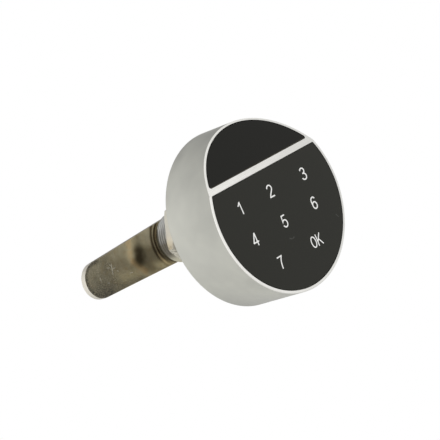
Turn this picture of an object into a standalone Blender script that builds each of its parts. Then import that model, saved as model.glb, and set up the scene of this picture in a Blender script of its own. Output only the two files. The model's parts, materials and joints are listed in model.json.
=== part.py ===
"""Electronic cabinet lock: a round keypad knob on a threaded cam-lock barrel.

Frame: metres, +Z up.  The lock axis is Y.  Y = 0 is the outside face of the
door, the keypad faces -Y, the barrel and cam point to +Y, and the cam stands
at nine o'clock (-X) as seen from the keypad.
"""
import math

import bmesh
import bpy
from mathutils import Matrix, Vector

MM = 0.001

# ---------------------------------------------------------------- dimensions
HEAD_R_FRONT = 32.3 * MM      # knob radius at its front edge
HEAD_R_REAR = 32.3 * MM       # knob radius at its rear edge
HEAD_FRONT = -23.6 * MM       # plane of the keypad panel
HEAD_REAR = -0.5 * MM         # rear rim, half a millimetre off the door
RIDGE_Z = 13.24 * MM          # where the front face starts to slope back
STRIP_TOP_Z = 15.48 * MM      # upper edge of the bright strip
SLOPE = math.atan(0.3668)     # tilt of the upper face, about 20 degrees
GLASS_R_LOW = 31.27 * MM      # pocket radius for the keypad panel
GLASS_R_UP = 31.42 * MM       # pocket radius for the upper panel
CAVITY_R = 29.5 * MM
CAVITY_FRONT = -19.25 * MM
FACET_WALL = 4.85 * MM        # facet to cavity, measured along Y

BARREL_R = 9.45 * MM          # M19 thread
BARREL_END = 33.1 * MM
BORE_R = 6.0 * MM
FLANGE_R = 15.2 * MM
PIN_RING_R = 12.4 * MM        # radius of the stop pin and the locking pin
STOP_PIN_R = 1.3 * MM
LOCK_PIN_R = 1.5 * MM
TURN = math.radians(90.0)     # travel of the knob

NUT_AF = 25.2 * MM
NUT_FRONT = 20.3 * MM
NUT_REAR = 23.65 * MM
NUT_TILT = math.radians(35.9)

CAM_FRONT = 33.4 * MM
CAM_REAR = 35.7 * MM
CAM_TIP_X = -40.7 * MM
CAM_TIP_R = 6.8 * MM
CAM_HALF = 8.5 * MM           # half width of the cam where it crosses the axis

MOTOR_X = 20.5 * MM
GAP = 0.3 * MM

# ---------------------------------------------------------------- fresh scene
for old in list(bpy.data.objects):
    bpy.data.objects.remove(old, do_unlink=True)

scene = bpy.context.scene
lock = bpy.data.collections.new("electronic_cabinet_lock")
cutters = bpy.data.collections.new("cutters")
scene.collection.children.link(lock)
scene.collection.children.link(cutters)


def material(name, rgb, rough, metal=0.0):
    m = bpy.data.materials.new(name)
    m.use_nodes = True
    b = m.node_tree.nodes["Principled BSDF"]
    b.inputs["Base Color"].default_value = (*rgb, 1.0)
    b.inputs["Roughness"].default_value = rough
    b.inputs["Metallic"].default_value = metal
    return m


# name: (colour, roughness, metallic); every sub-part gets its own copy
FINISH = {
    "satin_zinc": ((0.62, 0.62, 0.60), 0.38, 1.0),
    "black_panel": ((0.035, 0.035, 0.030), 0.18, 0.0),
    "nickel": ((0.72, 0.69, 0.62), 0.25, 1.0),
    "steel": ((0.55, 0.54, 0.50), 0.35, 1.0),
    "dark_nickel": ((0.40, 0.37, 0.30), 0.22, 1.0),
    "rubber": ((0.03, 0.03, 0.03), 0.75, 0.0),
    "board": ((0.02, 0.16, 0.06), 0.45, 0.0),
    "chip": ((0.02, 0.02, 0.02), 0.50, 0.0),
    "white_plastic": ((0.75, 0.75, 0.72), 0.50, 0.0),
    "black_plastic": ((0.04, 0.04, 0.04), 0.55, 0.0),
    "ribbon": ((0.85, 0.65, 0.30), 0.40, 0.0),
    "cell": ((0.75, 0.75, 0.76), 0.28, 1.0),
    "brass": ((0.78, 0.58, 0.25), 0.30, 1.0),
    "led": ((0.85, 0.90, 0.85), 0.25, 0.0),
}


def finish(obj, kind):
    rgb, rough, metal = FINISH[kind]
    obj.data.materials.clear()
    obj.data.materials.append(material(obj.name + "_finish", rgb, rough, metal))
    return obj


# ---------------------------------------------------------------- builders
# A turned or drilled shape is made about local Z and laid along world Y.
ALONG_Y = Matrix.Rotation(math.radians(-90.0), 4, "X")
# A flat outline is drawn in local XY and stood up in world XZ.
UPRIGHT = Matrix.Rotation(math.radians(90.0), 4, "X")


def place(obj, kind=None, cutter=False):
    (cutters if cutter else lock).objects.link(obj)
    if cutter:
        obj.hide_render = True
        obj.display_type = "WIRE"
    elif kind:
        finish(obj, kind)
    return obj


def smooth(obj):
    obj.data.shade_smooth()
    obj.data.set_sharp_from_angle(angle=math.radians(32.0))


def turned(name, profile, kind=None, steps=64, at=(0.0, 0.0), cutter=False):
    """profile: (radius, y) points in metres, rear to front on the outside."""
    me = bpy.data.meshes.new(name)
    bm = bmesh.new()
    vs = [bm.verts.new((r, 0.0, y)) for r, y in profile]
    for a, b in zip(vs, vs[1:]):
        bm.edges.new((a, b))
    if profile[0][0] > 0.0:
        bm.edges.new((vs[-1], vs[0]))
    bm.to_mesh(me)
    bm.free()
    obj = bpy.data.objects.new(name, me)
    obj.matrix_world = Matrix.Translation((at[0], 0.0, at[1])) @ ALONG_Y
    sc = obj.modifiers.new("turn", "SCREW")
    sc.axis = "Z"
    sc.angle = 2.0 * math.pi
    sc.steps = steps
    sc.render_steps = steps
    sc.use_merge_vertices = True
    sc.merge_threshold = 0.00001
    sc.use_smooth_shade = True
    return place(obj, kind, cutter)


def rod(name, r, y0, y1, x=0.0, z=0.0, kind=None, segs=24, cutter=False, r2=None):
    me = bpy.data.meshes.new(name)
    bm = bmesh.new()
    bmesh.ops.create_cone(bm, cap_ends=True, segments=segs, radius1=r,
                          radius2=r if r2 is None else r2, depth=y1 - y0)
    bm.to_mesh(me)
    bm.free()
    obj = bpy.data.objects.new(name, me)
    obj.matrix_world = Matrix.Translation((x, (y0 + y1) / 2.0, z)) @ ALONG_Y
    place(obj, kind, cutter)
    smooth(obj)
    return obj


def box(name, lo, hi, kind=None, cutter=False, bevel=0.0):
    me = bpy.data.meshes.new(name)
    bm = bmesh.new()
    bmesh.ops.create_cube(bm, size=1.0)
    size = [h - l for l, h in zip(lo, hi)]
    bmesh.ops.scale(bm, vec=size, verts=bm.verts)
    bm.to_mesh(me)
    bm.free()
    obj = bpy.data.objects.new(name, me)
    obj.location = [(l + h) / 2.0 for l, h in zip(lo, hi)]
    place(obj, kind, cutter)
    if bevel:
        bv = obj.modifiers.new("edges", "BEVEL")
        bv.width = bevel
        bv.segments = 2
        bv.limit_method = "ANGLE"
    return obj


def plate(name, outline, y0, y1, kind=None, cutter=False, matrix=None, holes=()):
    """outline: (x, z) points; a flat curve filled on both sides and extruded."""
    cu = bpy.data.curves.new(name + "_outline", "CURVE")
    cu.dimensions = "2D"
    cu.fill_mode = "BOTH"
    cu.extrude = abs(y1 - y0) / 2.0
    for loop in (outline, *holes):
        sp = cu.splines.new("POLY")
        sp.points.add(len(loop) - 1)
        for p, (x, z) in zip(sp.points, loop):
            p.co = (x, z, 0.0, 1.0)
        sp.use_cyclic_u = True
    tmp = bpy.data.objects.new(name + "_curve", cu)
    lock.objects.link(tmp)
    base = Matrix.Translation((0.0, (y0 + y1) / 2.0, 0.0)) @ UPRIGHT
    tmp.matrix_world = base if matrix is None else matrix
    return from_curve(name, tmp, kind, cutter)


def from_curve(name, tmp, kind=None, cutter=False):
    bpy.context.view_layer.update()
    deps = bpy.context.evaluated_depsgraph_get()
    me = bpy.data.meshes.new_from_object(tmp.evaluated_get(deps))
    bm = bmesh.new()
    bm.from_mesh(me)
    bmesh.ops.remove_doubles(bm, verts=bm.verts, dist=0.000001)
    bmesh.ops.dissolve_limit(bm, angle_limit=math.radians(0.3), verts=bm.verts, edges=bm.edges)
    bmesh.ops.recalc_face_normals(bm, faces=bm.faces)
    bm.to_mesh(me)
    bm.free()
    obj = bpy.data.objects.new(name, me)
    obj.matrix_world = tmp.matrix_world.copy()
    bpy.data.objects.remove(tmp, do_unlink=True)
    place(obj, kind, cutter)
    smooth(obj)
    return obj


def boolean(obj, *tools, op="DIFFERENCE"):
    """One exact cut or join; several tools go in together as a collection."""
    m = obj.modifiers.new(op.lower() + "_" + tools[0].name, "BOOLEAN")
    m.operation = op
    m.solver = "EXACT"
    if len(tools) == 1:
        m.object = tools[0]
        return obj
    group = bpy.data.collections.new(obj.name + "_" + tools[0].name)
    cutters.children.link(group)
    for t in tools:
        cutters.objects.unlink(t)
        group.objects.link(t)
    m.operand_type = "COLLECTION"
    m.collection = group
    return obj


def arc(cx, cz, r, a0, a1, n):
    return [(cx + r * math.cos(a0 + (a1 - a0) * i / n),
             cz + r * math.sin(a0 + (a1 - a0) * i / n)) for i in range(n + 1)]


def circle(cx, cz, r, n):
    return arc(cx, cz, r, 0.0, 2.0 * math.pi, n)[:-1]


def segment_outline(r, chord, above, corner, n=48):
    """Circle of radius r cut along z = chord, its two corners rounded."""
    s = 1.0 if above else -1.0
    cz = chord + s * corner
    cx = math.sqrt((r - corner) ** 2 - cz ** 2)
    a = math.atan2(cz, cx)
    if above:
        right = arc(cx, cz, corner, -math.pi / 2.0, a, 3)
        big = arc(0.0, 0.0, r, a, math.pi - a, n)[1:-1]
        left = arc(-cx, cz, corner, math.pi - a, 1.5 * math.pi, 3)
        return right + big + left
    left = arc(-cx, cz, corner, math.pi / 2.0, math.pi - a, 3)
    big = arc(0.0, 0.0, r, math.pi - a, 2.0 * math.pi + a, n)[1:-1]
    right = arc(cx, cz, corner, a, math.pi / 2.0, 3)
    return left + big + right


# The upper face: its local X is world X, local Y runs up the slope, and local
# Z points out of the face.
FACE_UP = Vector((0.0, math.sin(SLOPE), math.cos(SLOPE)))
FACE_OUT = Vector((0.0, -math.cos(SLOPE), math.sin(SLOPE)))


def on_facet(depth):
    """Matrix of a plane `depth` behind the upper face, origin on the ridge."""
    o = Vector((0.0, HEAD_FRONT, RIDGE_Z)) - FACE_OUT * depth
    m = Matrix((
        (1.0, 0.0, 0.0, o.x),
        (0.0, FACE_UP.y, FACE_OUT.y, o.y),
        (0.0, FACE_UP.z, FACE_OUT.z, o.z),
        (0.0, 0.0, 0.0, 1.0)))
    return m


def facet_outline(r, chord, corner):
    pts = segment_outline(r, chord, True, corner, 32)
    return [(x, (z - RIDGE_Z) / math.cos(SLOPE)) for x, z in pts]


def facet_plate(name, outline, d0, d1, kind=None, cutter=False):
    return plate(name, outline, d0, d1, kind, cutter, matrix=on_facet((d0 + d1) / 2.0))


def facet_block(name, depth):
    """Everything in front of the plane `depth` behind the upper face, z > 6 mm or so."""
    me = bpy.data.meshes.new(name)
    bm = bmesh.new()
    bmesh.ops.create_cube(bm, size=1.0)
    bmesh.ops.scale(bm, vec=(90 * MM, 60 * MM, 30 * MM), verts=bm.verts)
    bm.to_mesh(me)
    bm.free()
    obj = bpy.data.objects.new(name, me)
    obj.matrix_world = on_facet(depth) @ Matrix.Translation((0.0, 0.0, 15 * MM))
    return place(obj, cutter=True)


# ---------------------------------------------------------------- knob shell
shell = turned("knob_shell", [
    (0.0, HEAD_REAR), (HEAD_R_REAR - 0.15 * MM, HEAD_REAR),
    (HEAD_R_REAR, HEAD_REAR - 0.15 * MM),
    (HEAD_R_FRONT, HEAD_FRONT + 0.25 * MM), (HEAD_R_FRONT - 0.25 * MM, HEAD_FRONT),
    (0.0, HEAD_FRONT)], "satin_zinc", steps=96)

cavity = turned("cavity_cut", [
    (0.0, 3 * MM), (CAVITY_R, 3 * MM), (CAVITY_R, CAVITY_FRONT), (0.0, CAVITY_FRONT)],
    steps=80, cutter=True)
boolean(cavity, facet_block("cavity_slope", FACET_WALL * math.cos(SLOPE)))

POST = 18.5 * MM              # half the side of the square of cover screws
CORNERS = ((1, 1), (-1, 1), (-1, -1), (1, -1))
# sloping face, inside, pocket of the keypad panel, pocket of the sloping
# panel, and slots for the two flat cables
boolean(shell, facet_block("facet_cut", 0.0))
boolean(shell, cavity)
weld = shell.modifiers.new("weld", "WELD")
weld.merge_threshold = 0.000005
boolean(shell,
        plate("keypad_pocket", segment_outline(GLASS_R_LOW, RIDGE_Z, False, 0.6 * MM, 72),
              -25 * MM, -20.85 * MM, cutter=True),
        facet_plate("upper_pocket", facet_outline(GLASS_R_UP, STRIP_TOP_Z, 0.6 * MM),
                    -2.0 * MM, 3.05 * MM, cutter=True),
        box("ribbon_slot", (-5 * MM, -22 * MM, -21.4 * MM), (5 * MM, -18 * MM, -18.9 * MM), cutter=True),
        box("lead_slot", (-2.6 * MM, -21 * MM, 17.4 * MM), (2.6 * MM, -15 * MM, 18.9 * MM), cutter=True))
# four posts take the back cover's screws and two pads carry the main board
boolean(shell, *[rod("post_%d" % i, 2.6 * MM, -17.6 * MM if sz > 0 else -20.0 * MM, -3.7 * MM,
                     sx * POST, sz * POST, segs=20, cutter=True) for i, (sx, sz) in enumerate(CORNERS)],
        *[rod("board_pad_%d" % i, 2.4 * MM, -19.8 * MM, -19.05 * MM, x, -8 * MM, segs=16, cutter=True)
          for i, x in enumerate((-22.0 * MM, 22.0 * MM))], op="UNION")
boolean(shell, *[rod("post_hole_%d" % i, 1.4 * MM, -12.0 * MM, 0.0, sx * POST, sz * POST, segs=16, cutter=True)
                 for i, (sx, sz) in enumerate(CORNERS)],
        *[rod("pad_hole_%d" % i, 1.1 * MM, -20.2 * MM, -18.0 * MM, x, -8 * MM, segs=14, cutter=True)
          for i, x in enumerate((-22.0 * MM, 22.0 * MM))])

# ---------------------------------------------------------------- front panels
plate("keypad_lens", segment_outline(GLASS_R_LOW - 0.25 * MM, RIDGE_Z - 0.25 * MM, False, 0.5 * MM, 72),
      -23.55 * MM, -22.45 * MM, "black_panel")
plate("touch_board", segment_outline(GLASS_R_LOW - 0.4 * MM, RIDGE_Z - 0.4 * MM, False, 0.5 * MM, 48),
      -22.15 * MM, -21.15 * MM, "board")
facet_plate("upper_lens", facet_outline(GLASS_R_UP - 0.25 * MM, STRIP_TOP_Z + 0.25 * MM, 0.5 * MM),
            0.05 * MM, 1.15 * MM, "black_panel")
facet_plate("indicator_board", facet_outline(GLASS_R_UP - 0.6 * MM, STRIP_TOP_Z + 0.5 * MM, 0.5 * MM),
            1.95 * MM, 2.75 * MM, "board")
for i, x in enumerate((-4.0 * MM, 4.0 * MM)):
    led = box("status_led_%s" % ("red", "green")[i], (-0.8 * MM, -0.4 * MM, -0.25 * MM),
              (0.8 * MM, 0.4 * MM, 0.25 * MM), "led", bevel=0.08 * MM)
    led.matrix_world = on_facet(1.6 * MM) @ Matrix.Translation((x, 9.0 * MM, 0.0))


def flat_cable(name, path, width, kind):
    """A thin strip along (y, z) points, its corners rounded by a Bezier rule."""
    pts = [path[0]]
    for a, b, c in zip(path, path[1:], path[2:]):
        for t in (0.25, 0.5, 0.75):
            p0 = [(a[k] + b[k]) / 2.0 if a is not path[0] else a[k] * 0.4 + b[k] * 0.6 for k in (0, 1)]
            p2 = [(c[k] + b[k]) / 2.0 if c is not path[-1] else c[k] * 0.4 + b[k] * 0.6 for k in (0, 1)]
            pts.append(tuple((1 - t) ** 2 * p0[k] + 2 * t * (1 - t) * b[k] + t * t * p2[k] for k in (0, 1)))
    pts.append(path[-1])
    me = bpy.data.meshes.new(name)
    bm = bmesh.new()
    vs = [bm.verts.new((-width / 2.0, y, z)) for y, z in pts]
    es = [bm.edges.new((a, b)) for a, b in zip(vs, vs[1:])]
    out = bmesh.ops.extrude_edge_only(bm, edges=es)
    moved = [g for g in out["geom"] if isinstance(g, bmesh.types.BMVert)]
    bmesh.ops.translate(bm, vec=(width, 0.0, 0.0), verts=moved)
    bmesh.ops.recalc_face_normals(bm, faces=bm.faces)
    bm.to_mesh(me)
    bm.free()
    obj = bpy.data.objects.new(name, me)
    so = obj.modifiers.new("thickness", "SOLIDIFY")
    so.thickness = 0.2 * MM
    so.offset = 0.0
    place(obj, kind)
    smooth(obj)
    return obj


flat_cable("touch_ribbon", [(-21.0 * MM, -20.2 * MM), (-18.2 * MM, -20.2 * MM), (-16.4 * MM, -20.2 * MM),
                            (-16.4 * MM, -17.4 * MM)], 8 * MM, "ribbon")
flat_cable("indicator_ribbon", [(-18.5 * MM, 18.2 * MM), (-17.2 * MM, 18.0 * MM), (-15.2 * MM, 15.5 * MM),
                                (-16.7 * MM, 12.0 * MM), (-16.7 * MM, 10.6 * MM)], 4 * MM, "ribbon")

# ---------------------------------------------------------------- main board
board = plate("main_board", segment_outline(28.4 * MM, 12.2 * MM, False, 1.0 * MM, 48),
              -18.75 * MM, -17.55 * MM, "board")
boolean(board, box("board_end", (-12 * MM, -20 * MM, -40 * MM), (12 * MM, -16 * MM, -19.1 * MM), cutter=True),
        *[rod("board_post_gap_%d" % i, 3.1 * MM, -20 * MM, -16 * MM, sx * POST, -POST, segs=20, cutter=True)
          for i, sx in enumerate((-1, 1))],
        *[rod("board_hole_%d" % i, 1.2 * MM, -20 * MM, -16 * MM, x, -8 * MM, segs=14, cutter=True)
          for i, x in enumerate((-22.0 * MM, 22.0 * MM))])
for i, x in enumerate((-22.0 * MM, 22.0 * MM)):
    turned("board_screw_%d" % (i + 1), [
        (0.0, -16.3 * MM), (1.3 * MM, -16.3 * MM), (1.9 * MM, -16.7 * MM), (1.9 * MM, -17.25 * MM),
        (0.85 * MM, -17.25 * MM), (0.85 * MM, -20.0 * MM), (0.0, -20.0 * MM)],
        "steel", steps=12, at=(x, -8 * MM))
box("controller_chip", (-3.5 * MM, -17.3 * MM, -2.5 * MM), (3.5 * MM, -16.3 * MM, 4.5 * MM), "chip", bevel=0.12 * MM)
box("ribbon_connector", (-5.2 * MM, -17.3 * MM, -16.9 * MM), (5.2 * MM, -15.6 * MM, -13.6 * MM), "white_plastic", bevel=0.15 * MM)
box("lead_connector", (-3.0 * MM, -17.3 * MM, 7.2 * MM), (3.0 * MM, -15.9 * MM, 10.1 * MM), "white_plastic", bevel=0.15 * MM)
turned("buzzer", [(0.0, -14.95 * MM), (0.8 * MM, -14.95 * MM), (0.8 * MM, -15.5 * MM), (1.6 * MM, -15.5 * MM),
                  (1.6 * MM, -14.95 * MM), (4.2 * MM, -14.95 * MM), (4.5 * MM, -15.25 * MM),
                  (4.5 * MM, -17.3 * MM), (0.0, -17.3 * MM)], "black_plastic", steps=24, at=(-13 * MM, 0.0))
turned("capacitor", [(0.0, -15.0 * MM), (1.8 * MM, -15.0 * MM), (2.0 * MM, -15.2 * MM), (2.0 * MM, -17.3 * MM),
                     (0.0, -17.3 * MM)], "cell", steps=20, at=(9.5 * MM, -9.0 * MM))

# ---------------------------------------------------------------- battery carrier
CELL_Z = 12.6 * MM
CELL_R = 12.25 * MM
CARRIER_FRONT, CARRIER_REAR = -14.65 * MM, -8.25 * MM
carrier = turned("battery_carrier", [
    (0.0, CARRIER_REAR), (28.6 * MM, CARRIER_REAR), (28.9 * MM, CARRIER_REAR - 0.3 * MM),
    (28.9 * MM, CARRIER_FRONT), (0.0, CARRIER_FRONT)], "white_plastic", steps=64)
boolean(carrier, facet_block("carrier_slope", (FACET_WALL + 0.45 * MM) * math.cos(SLOPE)))
boolean(carrier,
        *[rod("cell_pocket_%d" % i, CELL_R + 0.3 * MM, -13.75 * MM, -5 * MM, 0.0, t * CELL_Z, segs=48, cutter=True)
          for i, t in enumerate((1, -1))],
        box("bolt_way", (10.2 * MM, -20 * MM, -3.6 * MM), (24.8 * MM, -5 * MM, 3.6 * MM), cutter=True),
        *[box("carrier_corner_%d" % i,
              (min(sx * 15.2, sx * 34) * MM, -20 * MM, min(sz * 15.2, sz * 34) * MM),
              (max(sx * 15.2, sx * 34) * MM, -5 * MM, max(sz * 15.2, sz * 34) * MM), cutter=True)
          for i, (sx, sz) in enumerate(CORNERS)])

for i, (s, side) in enumerate(((1, "upper"), (-1, "lower"))):
    turned("coin_cell_" + side, [
        (0.0, -8.4 * MM), (11.9 * MM, -8.4 * MM), (12.25 * MM, -8.75 * MM), (12.25 * MM, -12.6 * MM),
        (11.2 * MM, -12.9 * MM), (11.0 * MM, -13.35 * MM), (0.0, -13.35 * MM)],
        "cell", steps=32, at=(0.0, s * CELL_Z))
    # negative contact: a thin strip under the cell; positive contact: a strap over it
    box("cell_contact_" + side, (-9.0 * MM, -13.65 * MM, s * CELL_Z - 2 * MM),
        (9.0 * MM, -13.45 * MM, s * CELL_Z + 2 * MM), "brass")
    z0, z1 = s * CELL_Z - 2.0 * MM, s * CELL_Z + 2.0 * MM
    strap = box("cell_strap_" + side, (-13.0 * MM, -8.15 * MM, z0), (-6.0 * MM, -7.85 * MM, z1), "brass")

# ---------------------------------------------------------------- motor and locking bolt
turned("lock_motor", [
    (0.0, -11.0 * MM), (3.2 * MM, -11.0 * MM), (3.5 * MM, -11.3 * MM), (3.5 * MM, -17.0 * MM),
    (3.3 * MM, -17.25 * MM), (0.0, -17.25 * MM)], "cell", steps=28, at=(MOTOR_X, 0.0))

screw_axis = bpy.data.objects.new("drive_screw_axis", None)
lock.objects.link(screw_axis)
screw_axis.location = (MOTOR_X, 0.0, 0.0)
drive = turned("drive_screw", [
    (0.0, -4.0 * MM), (0.8 * MM, -4.0 * MM), (1.0 * MM, -4.2 * MM), (1.0 * MM, -10.5 * MM),
    (1.5 * MM, -10.5 * MM), (1.5 * MM, -10.8 * MM), (0.0, -10.8 * MM)], "brass", steps=20, at=(MOTOR_X, 0.0))

bolt_axis = bpy.data.objects.new("locking_bolt_axis", None)
lock.objects.link(bolt_axis)
bolt_axis.location = (PIN_RING_R, 0.0, 0.0)
slider = plate("bolt_slider", arc(13.5 * MM, 0.0, 3.0 * MM, 0.5 * math.pi, 1.5 * math.pi, 8)
               + arc(20.7 * MM, 0.0, 3.0 * MM, -0.5 * math.pi, 0.5 * math.pi, 8),
               -10.3 * MM, -8.4 * MM, "white_plastic")
boolean(slider, rod("slider_nut_hole", 1.3 * MM, -12 * MM, -7 * MM, MOTOR_X, 0.0, segs=20, cutter=True),
        rod("slider_pin_hole", LOCK_PIN_R * 0.75 + GAP, -12 * MM, -7 * MM, PIN_RING_R, 0.0,
            segs=20, cutter=True))
turned("locking_pin", [
    (0.0, -3.6 * MM), (1.1 * MM, -3.6 * MM), (1.5 * MM, -4.0 * MM), (1.5 * MM, -8.1 * MM),
    (1.125 * MM, -8.1 * MM), (1.125 * MM, -10.3 * MM), (0.0, -10.3 * MM)],
    "steel", steps=20, at=(PIN_RING_R, 0.0))

# ---------------------------------------------------------------- back cover
cover = turned("back_cover", [
    (5.0 * MM, -4.0 * MM), (15.7 * MM, -4.0 * MM), (15.7 * MM, -1.2 * MM), (28.8 * MM, -1.2 * MM),
    (29.1 * MM, -1.5 * MM), (29.1 * MM, -3.4 * MM), (17.6 * MM, -3.4 * MM), (17.6 * MM, -5.8 * MM),
    (5.0 * MM, -5.8 * MM)][::-1], "steel", steps=60)
boolean(cover, box("cover_square", (-5.1 * MM, -8 * MM, -5.1 * MM), (5.1 * MM, 0.0, 5.1 * MM), cutter=True),
        *[rod("cover_hole_%d" % i, 1.4 * MM, -8 * MM, 3 * MM, sx * POST, sz * POST, segs=16, cutter=True)
          for i, (sx, sz) in enumerate(CORNERS)],
        *[rod("cover_recess_%d" % i, 2.65 * MM, -2.3 * MM, 3 * MM, sx * POST, sz * POST, segs=20, cutter=True)
          for i, (sx, sz) in enumerate(CORNERS)],
        rod("bolt_hole", LOCK_PIN_R + GAP, -8 * MM, 0.0, PIN_RING_R, 0.0, segs=20, cutter=True),
        rod("stop_pin_hole", STOP_PIN_R + 0.2 * MM, -8 * MM, 0.0, -PIN_RING_R, 0.0, segs=20, cutter=True))
for i, (sx, sz) in enumerate(CORNERS):
    turned("cover_screw_%d" % (i + 1), [
        (0.0, -1.15 * MM), (1.5 * MM, -1.2 * MM), (2.25 * MM, -1.5 * MM), (2.25 * MM, -2.0 * MM),
        (1.1 * MM, -2.0 * MM), (1.1 * MM, -11.0 * MM), (0.7 * MM, -11.5 * MM), (0.0, -11.5 * MM)],
        "steel", steps=14, at=(sx * POST, sz * POST))
turned("stop_pin", [(0.0, -1.5 * MM), (1.1 * MM, -1.5 * MM), (STOP_PIN_R, -1.7 * MM), (STOP_PIN_R, -5.7 * MM),
                    (0.0, -5.7 * MM)], "steel", steps=20, at=(-PIN_RING_R, 0.0))

# ---------------------------------------------------------------- spindle
spindle = turned("spindle", [
    (0.0, 33.1 * MM), (5.3 * MM, 33.1 * MM), (5.6 * MM, 32.8 * MM), (5.6 * MM, 0.9 * MM), (4.5 * MM, 0.9 * MM),
    (4.5 * MM, -0.5 * MM), (5.6 * MM, -0.5 * MM), (5.6 * MM, -3.8 * MM), (4.4 * MM, -3.8 * MM),
    (4.4 * MM, -6.1 * MM), (8.0 * MM, -6.1 * MM), (8.0 * MM, -7.6 * MM), (7.7 * MM, -7.9 * MM),
    (0.0, -7.9 * MM)], "steel", steps=32)
boolean(spindle, box("spindle_key", (-4.8 * MM, -7.0 * MM, -4.8 * MM), (4.8 * MM, -3.6 * MM, 4.8 * MM), cutter=True),
        box("spindle_tip", (-4.0 * MM, 30.0 * MM, -4.0 * MM), (4.0 * MM, 35.5 * MM, 4.0 * MM), cutter=True), op="UNION")
boolean(spindle, rod("spindle_thread", 2.5 * MM, 22.0 * MM, 38.0 * MM, segs=24, cutter=True))

turned("o_ring", [(5.15 * MM + 0.5 * MM * math.cos(a), 0.2 * MM + 0.5 * MM * math.sin(a))
                  for a in [-2.0 * math.pi * k / 8 for k in range(8)]], "rubber", steps=24)

# ---------------------------------------------------------------- barrel (stays with the door)
barrel = turned("barrel", [
    (BORE_R, BARREL_END), (8.75 * MM, BARREL_END), (BARREL_R, BARREL_END - 0.7 * MM),
    (BARREL_R, -0.2 * MM), (8.6 * MM, -0.2 * MM), (8.6 * MM, -1.1 * MM), (FLANGE_R - 0.3 * MM, -1.1 * MM),
    (FLANGE_R, -1.4 * MM), (FLANGE_R, -3.0 * MM), (BORE_R, -3.0 * MM)], "nickel", steps=60)
# a flat on the side away from the cam keeps the barrel from turning in the door
boolean(barrel, box("barrel_flat", (8.1 * MM, 0.6 * MM, -12 * MM), (14 * MM, 40 * MM, 12 * MM), cutter=True))
# arc slot for the stop pin: from the cam's side (-X) to the top (+Z)
spare = (STOP_PIN_R + 0.35 * MM) / PIN_RING_R
a0, a1 = math.pi - TURN - spare, math.pi + spare
# and two holes for the locking pin, one for the closed lock and one for the open
boolean(barrel, plate("stop_slot", arc(0.0, 0.0, PIN_RING_R - 1.65 * MM, a0, a1, 20)
                      + arc(0.0, 0.0, PIN_RING_R + 1.65 * MM, a1, a0, 20), -4 * MM, 0.0, cutter=True),
        *[rod("keeper_hole_%d" % i, LOCK_PIN_R + GAP, -4 * MM, 0.0, x, z, segs=20, cutter=True)
          for i, (x, z) in enumerate(((PIN_RING_R, 0.0), (0.0, -PIN_RING_R)))])

turned("thrust_washer", [(10.2 * MM, -3.3 * MM), (10.2 * MM, -3.7 * MM), (6.9 * MM, -3.7 * MM), (6.9 * MM, -3.3 * MM)],
       "white_plastic", steps=32)
turned("seat_gasket", [(15.0 * MM, 0.0), (15.0 * MM, -0.8 * MM), (9.8 * MM, -0.8 * MM), (9.8 * MM, 0.0)],
       "rubber", steps=48)

# ---------------------------------------------------------------- nut
hexagon = [(NUT_AF / 2.0 / math.cos(math.pi / 6.0) * math.cos(NUT_TILT + math.pi / 6.0 + k * math.pi / 3.0),
            NUT_AF / 2.0 / math.cos(math.pi / 6.0) * math.sin(NUT_TILT + math.pi / 6.0 + k * math.pi / 3.0))
           for k in range(6)]
nut = plate("mounting_nut", hexagon, NUT_FRONT, NUT_REAR, "nickel",
            holes=(circle(0.0, 0.0, BARREL_R + GAP, 48),))
# turned chamfers on the corners, front and rear
boolean(nut, turned("nut_chamfer", [
    (30 * MM, NUT_REAR + 2 * MM), (30 * MM, NUT_FRONT - 2 * MM), (13.4 * MM, NUT_FRONT - 2 * MM),
    (13.4 * MM, NUT_FRONT), (14.6 * MM, NUT_FRONT + 0.69 * MM), (14.6 * MM, NUT_REAR - 0.69 * MM),
    (13.4 * MM, NUT_REAR), (13.4 * MM, NUT_REAR + 2 * MM)], steps=48, cutter=True))

# ---------------------------------------------------------------- cam
# a straight-sided plate that narrows from the hub to a round tip
A = CAM_TIP_X ** 2 - CAM_TIP_R ** 2
B = 2.0 * CAM_HALF * CAM_TIP_X
C = CAM_HALF ** 2 - CAM_TIP_R ** 2
k = (-B - math.sqrt(B * B - 4.0 * A * C)) / (2.0 * A)
phi = math.atan(k)
hub_r = CAM_HALF * math.cos(phi)
cam = plate("cam", arc(CAM_TIP_X, 0.0, CAM_TIP_R, math.pi / 2.0 + phi, 1.5 * math.pi - phi, 24)
            + arc(0.0, 0.0, hub_r, -math.pi / 2.0 - phi, math.pi / 2.0 + phi, 24),
            CAM_FRONT, CAM_REAR, "dark_nickel",
            holes=([(4.3 * MM, 4.3 * MM), (-4.3 * MM, 4.3 * MM), (-4.3 * MM, -4.3 * MM), (4.3 * MM, -4.3 * MM)],))
turned("cam_washer", [(7.0 * MM, 37.0 * MM), (7.0 * MM, 36.0 * MM), (2.75 * MM, 36.0 * MM), (2.75 * MM, 37.0 * MM)],
       "nickel", steps=32)
cam_screw = turned("cam_screw", [
    (0.0, 40.6 * MM), (2.6 * MM, 40.5 * MM), (4.3 * MM, 39.6 * MM), (4.6 * MM, 38.8 * MM), (4.6 * MM, 37.3 * MM),
    (2.2 * MM, 37.3 * MM), (2.2 * MM, 24.0 * MM), (0.0, 24.0 * MM)], "nickel", steps=28)
boolean(cam_screw, *[box("cross_slot_%d" % i, (-u * MM, 39.0 * MM, -v * MM), (u * MM, 42 * MM, v * MM), cutter=True)
                     for i, (u, v) in enumerate(((3.0, 0.55), (0.55, 3.0)))])

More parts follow.
